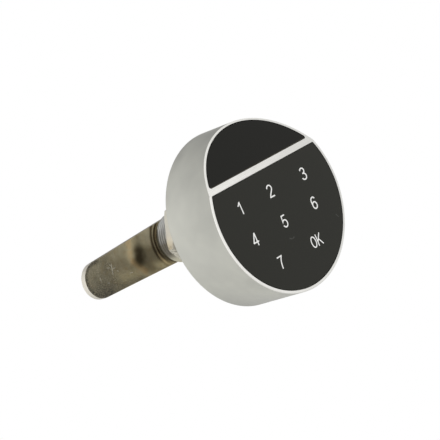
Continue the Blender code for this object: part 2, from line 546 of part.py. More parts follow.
# ---------------------------------------------------------------- what turns with what
knob_axis = bpy.data.objects.new("knob_axis", None)
lock.objects.link(knob_axis)
STATIC = {"barrel", "seat_gasket", "mounting_nut"}
bpy.context.view_layer.update()
for obj in list(lock.objects):
    if obj.type != "MESH" or obj.name in STATIC:
        continue
    parent = knob_axis
    if obj.name == "drive_screw":
        parent = screw_axis
    elif obj.name in {"bolt_slider", "locking_pin"}:
        parent = bolt_axis
    keep = obj.matrix_world.copy()
    obj.parent = parent
    obj.matrix_parent_inverse = parent.matrix_world.inverted()
    obj.matrix_world = keep
for axis in (screw_axis, bolt_axis):
    axis.parent = knob_axis
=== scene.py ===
"""Looks of the electronic cabinet lock.

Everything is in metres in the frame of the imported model: the lock axis is Y,
the keypad faces -Y, and the cam points to -X.  The fine meshes below stand for
the plain solids of the frame and take their sizes from them.
"""
import json
import math

import bmesh
import bpy
from mathutils import Matrix, Vector


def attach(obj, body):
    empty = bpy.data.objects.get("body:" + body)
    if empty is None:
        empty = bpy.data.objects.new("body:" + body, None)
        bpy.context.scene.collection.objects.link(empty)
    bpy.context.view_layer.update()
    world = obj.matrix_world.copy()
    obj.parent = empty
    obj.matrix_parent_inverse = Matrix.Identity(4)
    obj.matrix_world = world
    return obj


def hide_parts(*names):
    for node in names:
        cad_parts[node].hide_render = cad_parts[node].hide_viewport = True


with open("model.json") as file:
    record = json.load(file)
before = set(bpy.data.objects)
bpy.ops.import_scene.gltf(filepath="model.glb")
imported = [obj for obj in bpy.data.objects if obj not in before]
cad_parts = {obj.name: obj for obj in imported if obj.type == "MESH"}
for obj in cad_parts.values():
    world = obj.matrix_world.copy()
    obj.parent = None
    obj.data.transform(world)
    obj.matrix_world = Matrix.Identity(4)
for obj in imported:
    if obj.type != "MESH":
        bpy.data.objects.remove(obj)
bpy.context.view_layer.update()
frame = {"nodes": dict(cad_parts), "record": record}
BODY = {n: b for b, ns in frame["record"]["behaviour"]["bodies"].items() for n in ns}
NODES = frame["nodes"]
MM = 0.001
scene = bpy.context.scene

# ================================================================ camera
cam_data = bpy.data.cameras.new("photo_camera")
cam_data.sensor_width = 36.0
cam_data.lens = 147.2727
cam_data.clip_start = 0.02
cam_data.clip_end = 20.0
camera = bpy.data.objects.new("photo_camera", cam_data)
camera.location = (-0.4459476, -0.4608102, 0.0609192)
camera.rotation_mode = "QUATERNION"
camera.rotation_quaternion = (0.61286241, 0.66415691, -0.11278256, -0.41300770)
scene.collection.objects.link(camera)
scene.camera = camera
scene.view_settings.view_transform = "Standard"
scene.view_settings.look = "None"


# ================================================================ materials
class Finish:
    """A Principled material with its nodes added one by one."""

    def __init__(self, name, base=(0.5, 0.5, 0.5), rough=0.4, metal=0.0, **sockets):
        self.mat = bpy.data.materials.new(name)
        self.mat.use_nodes = True
        self.tree = self.mat.node_tree
        self.bsdf = self.tree.nodes["Principled BSDF"]
        self.bsdf.inputs["Base Color"].default_value = (*base, 1.0)
        self.bsdf.inputs["Roughness"].default_value = rough
        self.bsdf.inputs["Metallic"].default_value = metal
        for key, value in sockets.items():
            self.bsdf.inputs[key.replace("_", " ")].default_value = value
        self.space = self.tree.nodes.new("ShaderNodeTexCoord").outputs["Object"]
        self.heights = None

    def add(self, kind, **props):
        n = self.tree.nodes.new(kind)
        for key, value in props.items():
            setattr(n, key, value)
        return n

    def link(self, a, b):
        if hasattr(a, "is_output"):
            self.tree.links.new(a, b)
        else:
            b.default_value = a
        return b

    def where(self, scale=(1, 1, 1), at=(0, 0, 0), turn=(0, 0, 0)):
        n = self.add("ShaderNodeMapping", vector_type="TEXTURE")
        self.tree.links.new(self.space, n.inputs["Vector"])
        n.inputs["Location"].default_value = at
        n.inputs["Rotation"].default_value = turn
        n.inputs["Scale"].default_value = [1.0 / max(s, 0.001) for s in scale]
        return n.outputs["Vector"]

    def noise(self, size, detail=3.0, rough=0.55, stretch=(1, 1, 1), warp=0.0, at=(0, 0, 0), turn=(0, 0, 0)):
        """size: the width of a blotch in metres."""
        n = self.add("ShaderNodeTexNoise")
        self.tree.links.new(self.where(stretch, at, turn), n.inputs["Vector"])
        n.inputs["Scale"].default_value = 1.0 / size
        n.inputs["Detail"].default_value = detail
        n.inputs["Roughness"].default_value = rough
        n.inputs["Distortion"].default_value = warp
        return n.outputs["Fac"]

    def cells(self, size, feature="F1", random=1.0, stretch=(1, 1, 1), out="Distance"):
        n = self.add("ShaderNodeTexVoronoi", feature=feature)
        self.tree.links.new(self.where(stretch), n.inputs["Vector"])
        n.inputs["Scale"].default_value = 1.0 / size
        n.inputs["Randomness"].default_value = random
        return n.outputs[out]

    def axis(self, which, at=(0, 0, 0), turn=(0, 0, 0)):
        n = self.add("ShaderNodeSeparateXYZ")
        self.tree.links.new(self.where(at=at, turn=turn), n.inputs[0])
        return n.outputs[which]

    def math(self, op, a, b=0.0, c=None, clamp=False):
        n = self.add("ShaderNodeMath", operation=op, use_clamp=clamp)
        self.link(a, n.inputs[0])
        self.link(b, n.inputs[1])
        if c is not None:
            self.link(c, n.inputs[2])
        return n.outputs[0]

    def fit(self, v, a, b, c=0.0, d=1.0, soft=False):
        n = self.add("ShaderNodeMapRange", interpolation_type="SMOOTHSTEP" if soft else "LINEAR")
        self.link(v, n.inputs["Value"])
        for key, value in (("From Min", a), ("From Max", b), ("To Min", c), ("To Max", d)):
            self.link(value, n.inputs[key])
        return n.outputs["Result"]

    def mix(self, fac, a, b, blend="MIX"):
        n = self.add("ShaderNodeMix", data_type="RGBA", blend_type=blend)
        self.link(fac, n.inputs[0])
        for value, slot in ((a, n.inputs[6]), (b, n.inputs[7])):
            self.link(value if hasattr(value, "is_output") else (*value, 1.0), slot)
        return n.outputs[2]

    def distance(self, point, stretch=(1, 1, 1)):
        """Distance in metres from a point, each axis weighted by stretch."""
        n = self.add("ShaderNodeVectorMath", operation="LENGTH")
        self.tree.links.new(self.where(stretch, at=point), n.inputs[0])
        return n.outputs["Value"]

    def scratch(self, a, b, width):
        """1 on a thin line between two (x, z) points in millimetres."""
        (x0, z0), (x1, z1) = a, b
        turn = -math.atan2(z1 - z0, x1 - x0)
        n = self.add("ShaderNodeSeparateXYZ")
        self.tree.links.new(self.where(at=((x0 + x1) / 2 * MM, 0, (z0 + z1) / 2 * MM), turn=(0, turn, 0)), n.inputs[0])
        half = math.hypot(x1 - x0, z1 - z0) / 2 * MM
        along = self.fit(self.math("ABSOLUTE", n.outputs["X"]), half, half * 0.7)
        return self.math("MULTIPLY", along, self.fit(self.math("ABSOLUTE", n.outputs["Z"]), width * MM, width * 0.3 * MM))

    def color(self, v):
        self.link(v, self.bsdf.inputs["Base Color"])
        return self

    def rough(self, v):
        self.link(v, self.bsdf.inputs["Roughness"])
        return self

    def bump(self, height, depth, strength=1.0):
        n = self.add("ShaderNodeBump")
        n.inputs["Distance"].default_value = depth
        n.inputs["Strength"].default_value = strength
        self.tree.links.new(height, n.inputs["Height"])
        if self.heights is not None:
            self.tree.links.new(self.heights, n.inputs["Normal"])
        self.heights = n.outputs["Normal"]
        self.tree.links.new(self.heights, self.bsdf.inputs["Normal"])
        return self


def scaled(rgb, k):
    return tuple(min(1.0, c * k) for c in rgb)


def plain_finish(name, base, rough, metal=0.0, vary=0.07, blotch=4.0 * MM, grain=0.15 * MM,
                 depth=0.004 * MM, stretch=(1, 1, 1), spread=0.06, **sockets):
    """Colour drifts over a few millimetres, and fine grain moves roughness and relief."""
    f = Finish(name, base, rough, metal, **sockets)
    drift = f.noise(blotch, 3.0)
    f.color(f.mix(f.fit(drift, 0.3, 0.7), scaled(base, 1.0 - vary), scaled(base, 1.0 + vary)))
    fine = f.noise(grain, 2.0, stretch=stretch)
    f.rough(f.math("ADD", f.fit(fine, 0.3, 0.7, rough - spread, rough + spread), f.fit(drift, 0.3, 0.7, -0.02, 0.02)))
    f.bump(fine, depth)
    return f


# ================================================================ mesh tools
def fillet(points, closed=True, n=5):
    """Round the corners of an (r, y) or (x, z) line; a third number is the radius."""
    out = []
    count = len(points)
    for i, p in enumerate(points):
        rad = p[2] if len(p) > 2 else 0.0
        if rad <= 0.0 or (not closed and i in (0, count - 1)):
            out.append((p[0], p[1]))
            continue
        a, b, c = (Vector(points[k % count][:2]) for k in (i - 1, i, i + 1))
        u, v = (a - b), (c - b)
        lu, lv = u.length, v.length
        u.normalize()
        v.normalize()
        half = u.angle(v) / 2.0
        t = min(rad / math.tan(half), 0.49 * lu, 0.49 * lv)
        r = t * math.tan(half)
        centre = b + (u + v).normalized() * (r / math.sin(half))
        s, e = b + u * t - centre, b + v * t - centre
        a0, a1 = math.atan2(s.y, s.x), math.atan2(e.y, e.x)
        da = (a1 - a0 + math.pi) % (2.0 * math.pi) - math.pi
        for k in range(n + 1):
            g = a0 + da * k / n
            out.append((centre.x + r * math.cos(g), centre.y + r * math.sin(g)))
    return out


def mm(points):
    return [tuple(c * MM for c in p) for p in points]


def rings_to_faces(bm, rings, closed):
    """rings: lists of vertices, each a full circle or a single vertex on the axis."""
    pairs = list(zip(rings, rings[1:]))
    if closed:
        pairs.append((rings[-1], rings[0]))
    for a, b in pairs:
        n = max(len(a), len(b))
        for i in range(n):
            k = (i + 1) % n
            quad = [a[i % len(a)], a[k % len(a)], b[k % len(b)], b[i % len(b)]]
            face = []
            for v in quad:
                if v not in face:
                    face.append(v)
            if len(face) > 2:
                bm.faces.new(face)


def turned_mesh(profile, steps=128, at=(0.0, 0.0), start=0.0):
    """profile: (radius, y) in metres; open if it starts and ends on the axis."""
    bm = bmesh.new()
    rings = []
    for r, y in profile:
        if r < 1e-7:
            rings.append([bm.verts.new((at[0], y, at[1]))])
        else:
            rings.append([bm.verts.new((at[0] + r * math.cos(start + 2 * math.pi * i / steps), y,
                                        at[1] + r * math.sin(start + 2 * math.pi * i / steps))) for i in range(steps)])
    rings_to_faces(bm, rings, closed=profile[0][0] > 1e-7)
    bmesh.ops.recalc_face_normals(bm, faces=bm.faces)
    return bm


def outline_normals(loop):
    out = []
    n = len(loop)
    for i in range(n):
        p, q, r = (Vector(loop[k % n]) for k in (i - 1, i, i + 1))
        a, b = (q - p).normalized(), (r - q).normalized()
        na, nb = Vector((a.y, -a.x)), Vector((b.y, -b.x))
        m = na + nb
        m.normalize()
        out.append(m / max(0.3, m.dot(na)))
    return out


def slab_mesh(outline, y0, y1, edge=0.1 * MM, n=4, holes=(), hole_edge=None, matrix=None):
    """A plate from anticlockwise (x, z) outlines, with its edges rounded on both faces."""
    bm = bmesh.new()
    caps = ([], [])
    for number, loop in enumerate((outline, *holes)):
        e = edge if number == 0 or hole_edge is None else hole_edge
        area = sum(a[0] * b[1] - a[1] * b[0] for a, b in zip(loop, loop[1:] + loop[:1]))
        if (area > 0) != (number == 0):
            loop = loop[::-1]
        normals = outline_normals(loop)
        # round the edge from the front cap to the back cap: (inset, y)
        front = [(e * (1 - math.sin(math.pi / 2 * k / n)), y0 + e * (1 - math.cos(math.pi / 2 * k / n)))
                 for k in range(n + 1)] if e > 0 else [(0.0, y0)]
        back = [(d, y0 + y1 - y) for d, y in front][::-1]
        rings = []
        for d, y in front + back:
            rings.append([bm.verts.new((p[0] - m.x * d, y, p[1] - m.y * d)) for p, m in zip(loop, normals)])
        rings_to_faces(bm, rings, closed=False)
        for cap, ring in ((caps[0], rings[0]), (caps[1], rings[-1])):
            cap.append(ring)
    for cap in caps:
        if len(cap) == 1:
            bm.faces.new(cap[0])
        else:
            edges = [bm.edges.get((a, b)) for ring in cap for a, b in zip(ring, ring[1:] + ring[:1])]
            bmesh.ops.triangle_fill(bm, use_beauty=True, use_dissolve=False, edges=edges)
    bmesh.ops.recalc_face_normals(bm, faces=bm.faces)
    if matrix is not None:
        bm.transform(matrix)
    return bm


def block_mesh(lo, hi, edge=0.0, n=3, matrix=None):
    bm = bmesh.new()
    bmesh.ops.create_cube(bm, size=1.0)
    bmesh.ops.scale(bm, vec=[h - l for l, h in zip(lo, hi)], verts=bm.verts)
    bmesh.ops.translate(bm, vec=[(l + h) / 2.0 for l, h in zip(lo, hi)], verts=bm.verts)
    if edge:
        bmesh.ops.bevel(bm, geom=list(bm.edges), offset=edge, segments=n, profile=0.5, affect="EDGES")
    if matrix is not None:
        bm.transform(matrix)
    return bm


def merge(*meshes):
    """Several separate closed bodies as one mesh."""
    out = bmesh.new()
    for bm in meshes:
        me = bpy.data.meshes.new("part")
        bm.to_mesh(me)
        bm.free()
        out.from_mesh(me)
        bpy.data.meshes.remove(me)
    return out


def raw(name, bm):
    me = bpy.data.meshes.new(name)
    bm.to_mesh(me)
    bm.free()
    obj = bpy.data.objects.new(name, me)
    scene.collection.objects.link(obj)
    return obj


def loose(obj):
    """The object's mesh as a bmesh, with the object removed."""
    bm = bmesh.new()
    bm.from_mesh(obj.data)
    data = obj.data
    bpy.data.objects.remove(obj, do_unlink=True)
    bpy.data.meshes.remove(data)
    return bm


def carve(obj, tools, op="DIFFERENCE"):
    """Exact cut or join with bmeshes; the tools are removed again."""
    group = bpy.data.collections.new("tools")
    scene.collection.children.link(group)
    made = []
    for bm in tools:
        t = raw("tool", bm)
        scene.collection.objects.unlink(t)
        group.objects.link(t)
        made.append(t)
    m = obj.modifiers.new("carve", "BOOLEAN")
    m.operation, m.solver, m.operand_type, m.collection = op, "EXACT", "COLLECTION", group
    bpy.context.view_layer.update()
    me = bpy.data.meshes.new_from_object(obj.evaluated_get(bpy.context.evaluated_depsgraph_get()))
    obj.modifiers.remove(m)
    old = obj.data
    obj.data = me
    bpy.data.meshes.remove(old)
    for t in made:
        data = t.data
        bpy.data.objects.remove(t, do_unlink=True)
        bpy.data.meshes.remove(data)
    bpy.data.collections.remove(group)
    return obj


def edit(obj, change):
    bm = bmesh.new()
    bm.from_mesh(obj.data)
    change(bm)
    bm.to_mesh(obj.data)
    bm.free()
    return obj


def soften(obj, width, pick=None, n=2, angle=30.0):
    """Round the sharp edges whose middle passes pick."""
    def change(bm):
        bmesh.ops.remove_doubles(bm, verts=bm.verts, dist=0.0000005)
        bm.normal_update()
        chosen = []
        for e in bm.edges:
            if len(e.link_faces) == 2 and e.calc_face_angle(0.0) > math.radians(angle):
                mid = (e.verts[0].co + e.verts[1].co) / 2.0
                if pick is None or pick(mid, e):
                    chosen.append(e)
        bmesh.ops.bevel(bm, geom=chosen, offset=width, offset_type="OFFSET", segments=n, profile=0.5,
                        affect="EDGES", clamp_overlap=True, miter_outer="SHARP", miter_inner="SHARP")
    return edit(obj, change)


def shade(obj, angle=38.0):
    obj.data.shade_smooth()
    obj.data.set_sharp_from_angle(angle=math.radians(angle))
    w = obj.modifiers.new("normals", "WEIGHTED_NORMAL")
    w.keep_sharp = True
    w.weight = 80
    return obj


def piece(name, source, finish, node, also=(), angle=38.0):
    """source: a bmesh or an object. It rides with the node that it stands for."""
    obj = source if isinstance(source, bpy.types.Object) else raw(name, source)
    obj.name = name
    obj.data.name = name
    mats = finish if isinstance(finish, (list, tuple)) else [finish]
    while len(obj.data.materials) < len(mats):
        obj.data.materials.append(None)
    for i, f in enumerate(mats):
        obj.data.materials[i] = f.mat
    shade(obj, angle)
    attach(obj, BODY[node])
    if also is not None:
        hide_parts(node, *also)
    return obj


def dress(node, finish):
    """A node whose own shape is right gets its finish."""
    obj = NODES[node]
    if not obj.data.materials:
        obj.data.materials.append(finish.mat)
    for s in obj.material_slots:
        s.material = finish.mat


def arc(cx, cz, rx, a0, a1, n, rz=None):
    rz = rx if rz is None else rz
    return [(cx + rx * math.cos(a0 + (a1 - a0) * i / n), cz + rz * math.sin(a0 + (a1 - a0) * i / n)) for i in range(n + 1)]


def circle(cx, cz, r, n):
    return arc(cx, cz, r, 0.0, 2.0 * math.pi, n)[:-1]


def rod_mesh(r, y0, y1, x=0.0, z=0.0, steps=32):
    return turned_mesh([(0.0, y1), (r, y1), (r, y0), (0.0, y0)], steps, (x, z))


def thread_mesh(r_out, pitch, deep, y0, y1, tail, foot, steps=128, rows=10, lead=0.0, tip=0.0, at=(0.0, 0.0),
                crest=0.14, root=0.18, flat=None):
    """A helical thread from y0 to y1.  Turned lines of (radius, y) points run on from it: `tail`
    from its y1 end, and `foot` to its y0 end.  A line that doesn't reach the axis is left open.
    lead, tip: chamfers at y1 and y0.  flat: (x, y), the thread is cut off at x beyond y."""
    def radius(turns, y):
        f = turns % 1.0
        d = abs(f - 0.5) * 2.0            # 0 at the root, 1 at the crest
        t = min(1.0, max(0.0, (d - root) / (1.0 - root - crest)))
        t = t * t * (3.0 - 2.0 * t) * 0.35 + t * 0.65
        r = r_out - deep * (1.0 - t)
        if lead:
            r = min(r, r_out + (y1 - y) - lead)
        if tip:
            r = min(r, r_out + (y - y0) - tip)
        return r

    def cut(x, y):
        return min(x, flat[0]) if flat and y > flat[1] else x
    bm = bmesh.new()
    total = int(math.ceil((y1 - y0) / pitch) + 2) * rows
    grid = {}
    low, high = [], []
    for i in range(steps):
        c, s = math.cos(2 * math.pi * i / steps), math.sin(2 * math.pi * i / steps)

        def vert(y):
            turns = (y - y0) / pitch - i / steps
            r = radius(turns, y)
            return bm.verts.new((at[0] + cut(r * c, y), y, at[1] + r * s))
        low.append(vert(y0))
        high.append(vert(y1))
        for j in range(total + 1):
            y = y0 + pitch * (j / rows - 1.0 + i / steps)
            if y <= y0 + 1e-7:
                grid[i, j] = low[-1]
            elif y >= y1 - 1e-7:
                grid[i, j] = high[-1]
            else:
                grid[i, j] = vert(y)

    def at_(i, j):
        if i == steps:
            i, j = 0, j + rows
        return grid.get((i, j), high[i])
    for i in range(steps):
        for j in range(total):
            face = []
            for v in (at_(i, j), at_(i + 1, j), at_(i + 1, j + 1), at_(i, j + 1)):
                if v not in face:
                    face.append(v)
            if len(face) > 2 and not bm.faces.get(face):
                bm.faces.new(face)

    def ring(r, y):
        if r < 1e-7:
            return [bm.verts.new((at[0], y, at[1]))]
        return [bm.verts.new((at[0] + r * math.cos(2 * math.pi * i / steps), y,
                              at[1] + r * math.sin(2 * math.pi * i / steps))) for i in range(steps)]
    rings_to_faces(bm, [high] + [ring(r, y) for r, y in tail], closed=False)
    rings_to_faces(bm, [ring(r, y) for r, y in foot] + [low], closed=False)
    return bm


def join_at(name, body, tube, y, r0, r1, at=(0.0, 0.0)):
    """Weld an open tube to a closed body, whose flat end at y between two radii comes out first."""
    bm = loose(body)
    gone = [f for f in bm.faces if all(abs(v.co.y - y) < 1e-7 for v in f.verts)
            and r0 - 1e-6 < math.hypot(f.calc_center_median().x - at[0], f.calc_center_median().z - at[1]) < r1 + 1e-6]
    bmesh.ops.delete(bm, geom=gone, context="FACES")
    out = merge(bm, tube)
    bmesh.ops.remove_doubles(out, verts=out.verts, dist=2e-7)
    bmesh.ops.recalc_face_normals(out, faces=out.faces)
    return raw(name, out)


def cross_tool(y_top, depth, arm, wide, x=0.0, z=0.0, turn=0.0, away=1.0):
    """Tapered cross recess seen from +Y (away=1) or -Y (away=-1)."""
    out = []
    for k in (0, 1):
        bm = bmesh.new()
        bmesh.ops.create_cube(bm, size=1.0)
        for v in bm.verts:
            top = v.co.z > 0
            a = arm * (1.0 if top else 0.45)
            w = wide * (1.0 if top else 0.7)
            v.co = Vector((math.copysign(a, v.co.x), 0.0, math.copysign(w, v.co.y)))
            v.co.y = y_top + away * 0.3 * MM if top else y_top - away * depth
        bm.transform(Matrix.Translation((x, 0.0, z)) @ Matrix.Rotation(turn + k * math.pi / 2.0, 4, "Y"))
        bmesh.ops.recalc_face_normals(bm, faces=bm.faces)
        out.append(bm)
    return out


# ================================================================ sizes, as in the frame
HEAD_FRONT, HEAD_REAR = -23.6 * MM, -0.5 * MM
RIDGE_Z, STRIP_TOP_Z = 13.24 * MM, 15.48 * MM
SLOPE = math.atan(0.3668)
GLASS_R_LOW, GLASS_R_UP = 31.27 * MM, 31.13 * MM
FACET_WALL = 4.85 * MM
POST = 18.5 * MM
CORNERS = ((1, 1), (-1, 1), (-1, -1), (1, -1))
PIN_RING_R = 12.4 * MM
BARREL_R = 9.45 * MM
FACE_UP = Vector((0.0, math.sin(SLOPE), math.cos(SLOPE)))
FACE_OUT = Vector((0.0, -math.cos(SLOPE), math.sin(SLOPE)))
RIDGE = Vector((0.0, HEAD_FRONT, RIDGE_Z))


def facet_matrix(depth=0.0):
    """Takes slab coordinates (x, y, z) = (across, behind the face, up the slope) to the frame."""
    o = RIDGE - FACE_OUT * depth
    return Matrix(((1.0, 0.0, 0.0, o.x),
                   (0.0, -FACE_OUT.y, FACE_UP.y, o.y),
                   (0.0, -FACE_OUT.z, FACE_UP.z, o.z),
                   (0.0, 0.0, 0.0, 1.0)))


def segment_outline(r, chord, above, corner, n=200, nc=8):
    s = 1.0 if above else -1.0
    cz = chord + s * corner
    cx = math.sqrt((r - corner) ** 2 - cz ** 2)
    a = math.atan2(cz, cx)
    if above:
        return (arc(cx, cz, corner, -math.pi / 2, a, nc) + arc(0, 0, r, a, math.pi - a, n)[1:-1]
                + arc(-cx, cz, corner, math.pi - a, 1.5 * math.pi, nc))
    return (arc(-cx, cz, corner, math.pi / 2, math.pi - a, nc)
            + arc(0, 0, r, math.pi - a, 2 * math.pi + a, n)[1:-1] + arc(cx, cz, corner, a, math.pi / 2, nc))


GLASS_RISE = 0.48 * MM          # the upper panel's arc has its centre that far above the lock axis


def facet_outline(r, chord, corner, n=120):
    return [(x, (z + GLASS_RISE - RIDGE_Z) / math.cos(SLOPE)) for x, z in
            segment_outline(r, chord - GLASS_RISE, True, corner, n)]


def facet_block(depth):
    """Everything in front of the plane that far behind the sloping face."""
    return block_mesh((-45 * MM, -30 * MM, -30 * MM), (45 * MM, 0.0, 30 * MM), matrix=facet_matrix(depth))



def on_front(p, near=0.02 * MM):
    return p.y < -5 * MM and min(abs(p.y - HEAD_FRONT), abs((p - RIDGE).dot(FACE_OUT))) < near


def radius(p):
    return math.hypot(p.x, p.z)


# ================================================================ finishes
satin = Finish("satin_chrome", (0.625, 0.625, 0.570), 0.40, 1.0)
drift = satin.noise(11 * MM, 2.0)
fine = satin.noise(0.10 * MM, 2.0)
tone = satin.mix(satin.fit(drift, 0.3, 0.7), (0.585, 0.586, 0.538), (0.662, 0.662, 0.604))
# painted shade: the wall is darkened towards its front top, towards its back bottom, and along the top
front, high = satin.fit(satin.axis("Y"), -7 * MM, -23 * MM), satin.fit(satin.axis("Z"), -16 * MM, 4 * MM)
tone = satin.mix(satin.math("MULTIPLY", front, high), tone, (0.86, 0.86, 0.86), "MULTIPLY")
back, deep = satin.fit(satin.axis("Y"), -12 * MM, -2 * MM), satin.fit(satin.axis("Z"), -18 * MM, -29 * MM)
tone = satin.mix(satin.math("MULTIPLY", back, deep), tone, (0.81, 0.81, 0.82), "MULTIPLY")
satin.color(satin.mix(satin.fit(satin.axis("Z"), 12 * MM, 28 * MM), tone, (0.94, 0.94, 0.94), "MULTIPLY"))
satin.rough(satin.math("ADD", satin.fit(fine, 0.3, 0.7, 0.37, 0.43), satin.fit(drift, 0.3, 0.7, -0.03, 0.03)))
satin.bump(fine, 0.0035 * MM)

bright = Finish("bright_chrome", (0.88, 0.872, 0.835), 0.30, 1.0)
line = bright.noise(0.09 * MM, 2.0, stretch=(0.012, 1, 1))
cloud = bright.noise(2.2 * MM, 3.0, stretch=(0.35, 1, 1))
# painted light: the cut rim is lighter towards -X and darker towards +X
across = bright.fit(bright.axis("X"), -32 * MM, 32 * MM)
bright.color(bright.mix(bright.fit(cloud, 0.3, 0.7),
                        bright.mix(across, (0.90, 0.89, 0.85), (0.71, 0.705, 0.675)),
                        bright.mix(across, (0.95, 0.94, 0.90), (0.77, 0.765, 0.735))))
bright.rough(bright.fit(line, 0.3, 0.7, 0.24, 0.36))
bright.bump(line, 0.004 * MM)

LOW_TONE = (0.0080, 0.0082, 0.0036)
panel = Finish("black_panel", LOW_TONE, 0.10, 0.0, Specular_IOR_Level=0.29)
smear = panel.noise(9 * MM, 3.0, warp=0.6)
dust = panel.cells(2.6 * MM)
speck = panel.math("MULTIPLY", panel.fit(dust, 0.035, 0.02, 0.0, 1.0), panel.fit(panel.noise(7 * MM), 0.55, 0.62))
smudge = panel.math("MAXIMUM", panel.scratch((-2.6, -12.6), (-1.3, -13.4), 0.34), panel.scratch((-1.3, -13.4), (0.1, -13.0), 0.30))
smudge = panel.math("MAXIMUM", smudge, panel.scratch((24.0, -13.6), (25.0, -15.3), 0.25))
speck = panel.math("MAXIMUM", panel.math("MULTIPLY", speck, 0.5), panel.math("MULTIPLY", smudge, 0.16))
panel.color(panel.mix(speck, LOW_TONE, (0.22, 0.22, 0.21)))
panel.rough(panel.math("ADD", panel.fit(smear, 0.3, 0.7, 0.07, 0.13), panel.math("MULTIPLY", speck, 0.6)))

HIGH_TONE = (0.0050, 0.0050, 0.0030)
upper_panel = Finish("black_panel_upper", HIGH_TONE, 0.09, 0.0, Specular_IOR_Level=0.18)
smear = upper_panel.noise(10 * MM, 3.0, warp=0.6)
dust = upper_panel.cells(3.1 * MM)
speck = upper_panel.math("MULTIPLY", upper_panel.fit(dust, 0.03, 0.015, 0.0, 1.0),
                         upper_panel.fit(upper_panel.noise(6 * MM), 0.55, 0.62))
upper_panel.color(upper_panel.mix(upper_panel.math("MULTIPLY", speck, 0.4), HIGH_TONE, (0.2, 0.2, 0.19)))
upper_panel.rough(upper_panel.fit(smear, 0.3, 0.7, 0.06, 0.12))

glue = Finish("amber_edge", (0.22, 0.15, 0.06), 0.4)
glue.color(glue.mix(glue.fit(glue.noise(1.5 * MM), 0.3, 0.7), (0.035, 0.030, 0.016), (0.080, 0.068, 0.034)))

ink = Finish("figure_print", (0.90, 0.90, 0.88), 0.55)
ink.color(ink.mix(ink.fit(ink.noise(0.25 * MM, 2.0), 0.3, 0.7), (0.88, 0.88, 0.86), (0.94, 0.94, 0.92)))

# the thread roots are darkened, partly grease and partly painted shade; painted shade darkens a band on the side
# towards the cam's tip and the end at the cam, and a painted highlight lightens the bottom
barrel_metal = Finish("barrel_nickel", (0.62, 0.62, 0.59), 0.26, 1.0)
drift = barrel_metal.noise(1.8 * MM, 3.0)
fine = barrel_metal.noise(0.15 * MM, 2.0)
tone = barrel_metal.mix(barrel_metal.fit(drift, 0.3, 0.7), (0.42, 0.42, 0.41), (0.56, 0.56, 0.54))
# painted shade: a dark brown band on the side towards the cam's tip
painted_light_band = barrel_metal.math("ABSOLUTE", barrel_metal.axis("Z", at=(0, 0, -2.6 * MM)))
painted_light_band = barrel_metal.math("MULTIPLY", barrel_metal.fit(painted_light_band, 4.6 * MM, 2.4 * MM, soft=True),
                         barrel_metal.fit(barrel_metal.axis("X"), 0.0, -5 * MM))
tone = barrel_metal.mix(barrel_metal.math("MULTIPLY", painted_light_band, 0.72), tone, (0.24, 0.21, 0.155))
# painted highlight: lighter and warmer towards the bottom of the barrel
low = barrel_metal.fit(barrel_metal.axis("Z"), -4.0 * MM, -6.6 * MM)
tone = barrel_metal.mix(barrel_metal.math("MULTIPLY", low, 0.85), tone, (0.78, 0.75, 0.61))
# thread roots darkened: partly grease, partly painted shade
depth_in = barrel_metal.distance((0, 0, 0), (1, 0, 1))
root = barrel_metal.math("MULTIPLY", barrel_metal.fit(depth_in, 9.24 * MM, 8.88 * MM),
                         barrel_metal.fit(depth_in, 8.3 * MM, 8.45 * MM))
quiet = barrel_metal.math("MAXIMUM", low, painted_light_band)
root = barrel_metal.math("MULTIPLY", root, barrel_metal.fit(quiet, 0.0, 1.0, 1.0, 0.25))
tone = barrel_metal.mix(barrel_metal.math("MULTIPLY", root, 0.50), tone, (0.12, 0.11, 0.09))
# painted shade where the barrel's end meets the cam
tone = barrel_metal.mix(barrel_metal.fit(barrel_metal.axis("Y"), 32.2 * MM, 32.6 * MM, 0.0, 0.75), tone, (0.15, 0.13, 0.085))
barrel_metal.color(tone)
barrel_metal.rough(barrel_metal.math("ADD", barrel_metal.fit(fine, 0.3, 0.7, 0.30, 0.40),
                                     barrel_metal.math("MULTIPLY", quiet, 0.30)))
barrel_metal.bump(fine, 0.004 * MM)

nut_metal = Finish("nut_nickel", (0.86, 0.81, 0.69), 0.24, 1.0)
drift = nut_metal.noise(2.5 * MM, 3.0)
fine = nut_metal.noise(0.15 * MM, 2.0)
tone = nut_metal.mix(nut_metal.fit(drift, 0.3, 0.7), (0.78, 0.735, 0.64), (0.88, 0.83, 0.72))
# painted shade: darker towards the bottom of the nut
edge = nut_metal.math("ADD", nut_metal.axis("Z"), nut_metal.math("MULTIPLY", drift, 1.6 * MM))
tone = nut_metal.mix(nut_metal.fit(edge, -0.8 * MM, -1.6 * MM, 0.0, 0.6), tone, (0.60, 0.58, 0.48))
# painted shade: darker towards the top of the nut
tone = nut_metal.mix(nut_metal.fit(nut_metal.axis("Z"), 2.5 * MM, 6.5 * MM, 0.0, 1.0), tone, (0.83, 0.85, 0.85), "MULTIPLY")
grit = nut_metal.math("MULTIPLY", nut_metal.fit(nut_metal.noise(0.8 * MM, 2.0), 0.52, 0.60),
                      nut_metal.math("MULTIPLY", nut_metal.fit(nut_metal.axis("Z"), 0.0, -1.8 * MM),
                                     nut_metal.fit(nut_metal.axis("X"), -9.5 * MM, -11 * MM)))
nut_metal.color(nut_metal.mix(nut_metal.math("MULTIPLY", grit, 0.7), tone, (0.16, 0.15, 0.11)))
nut_metal.rough(nut_metal.fit(fine, 0.3, 0.7, 0.32, 0.44))
nut_metal.bump(fine, 0.004 * MM)
washer_metal = plain_finish("washer_nickel", (0.80, 0.77, 0.70), 0.26, 1.0, vary=0.06, blotch=2.5 * MM, depth=0.004 * MM)
screw_metal = plain_finish("screw_zinc", (0.52, 0.51, 0.47), 0.30, 1.0, vary=0.08, blotch=1.2 * MM, grain=0.08 * MM)
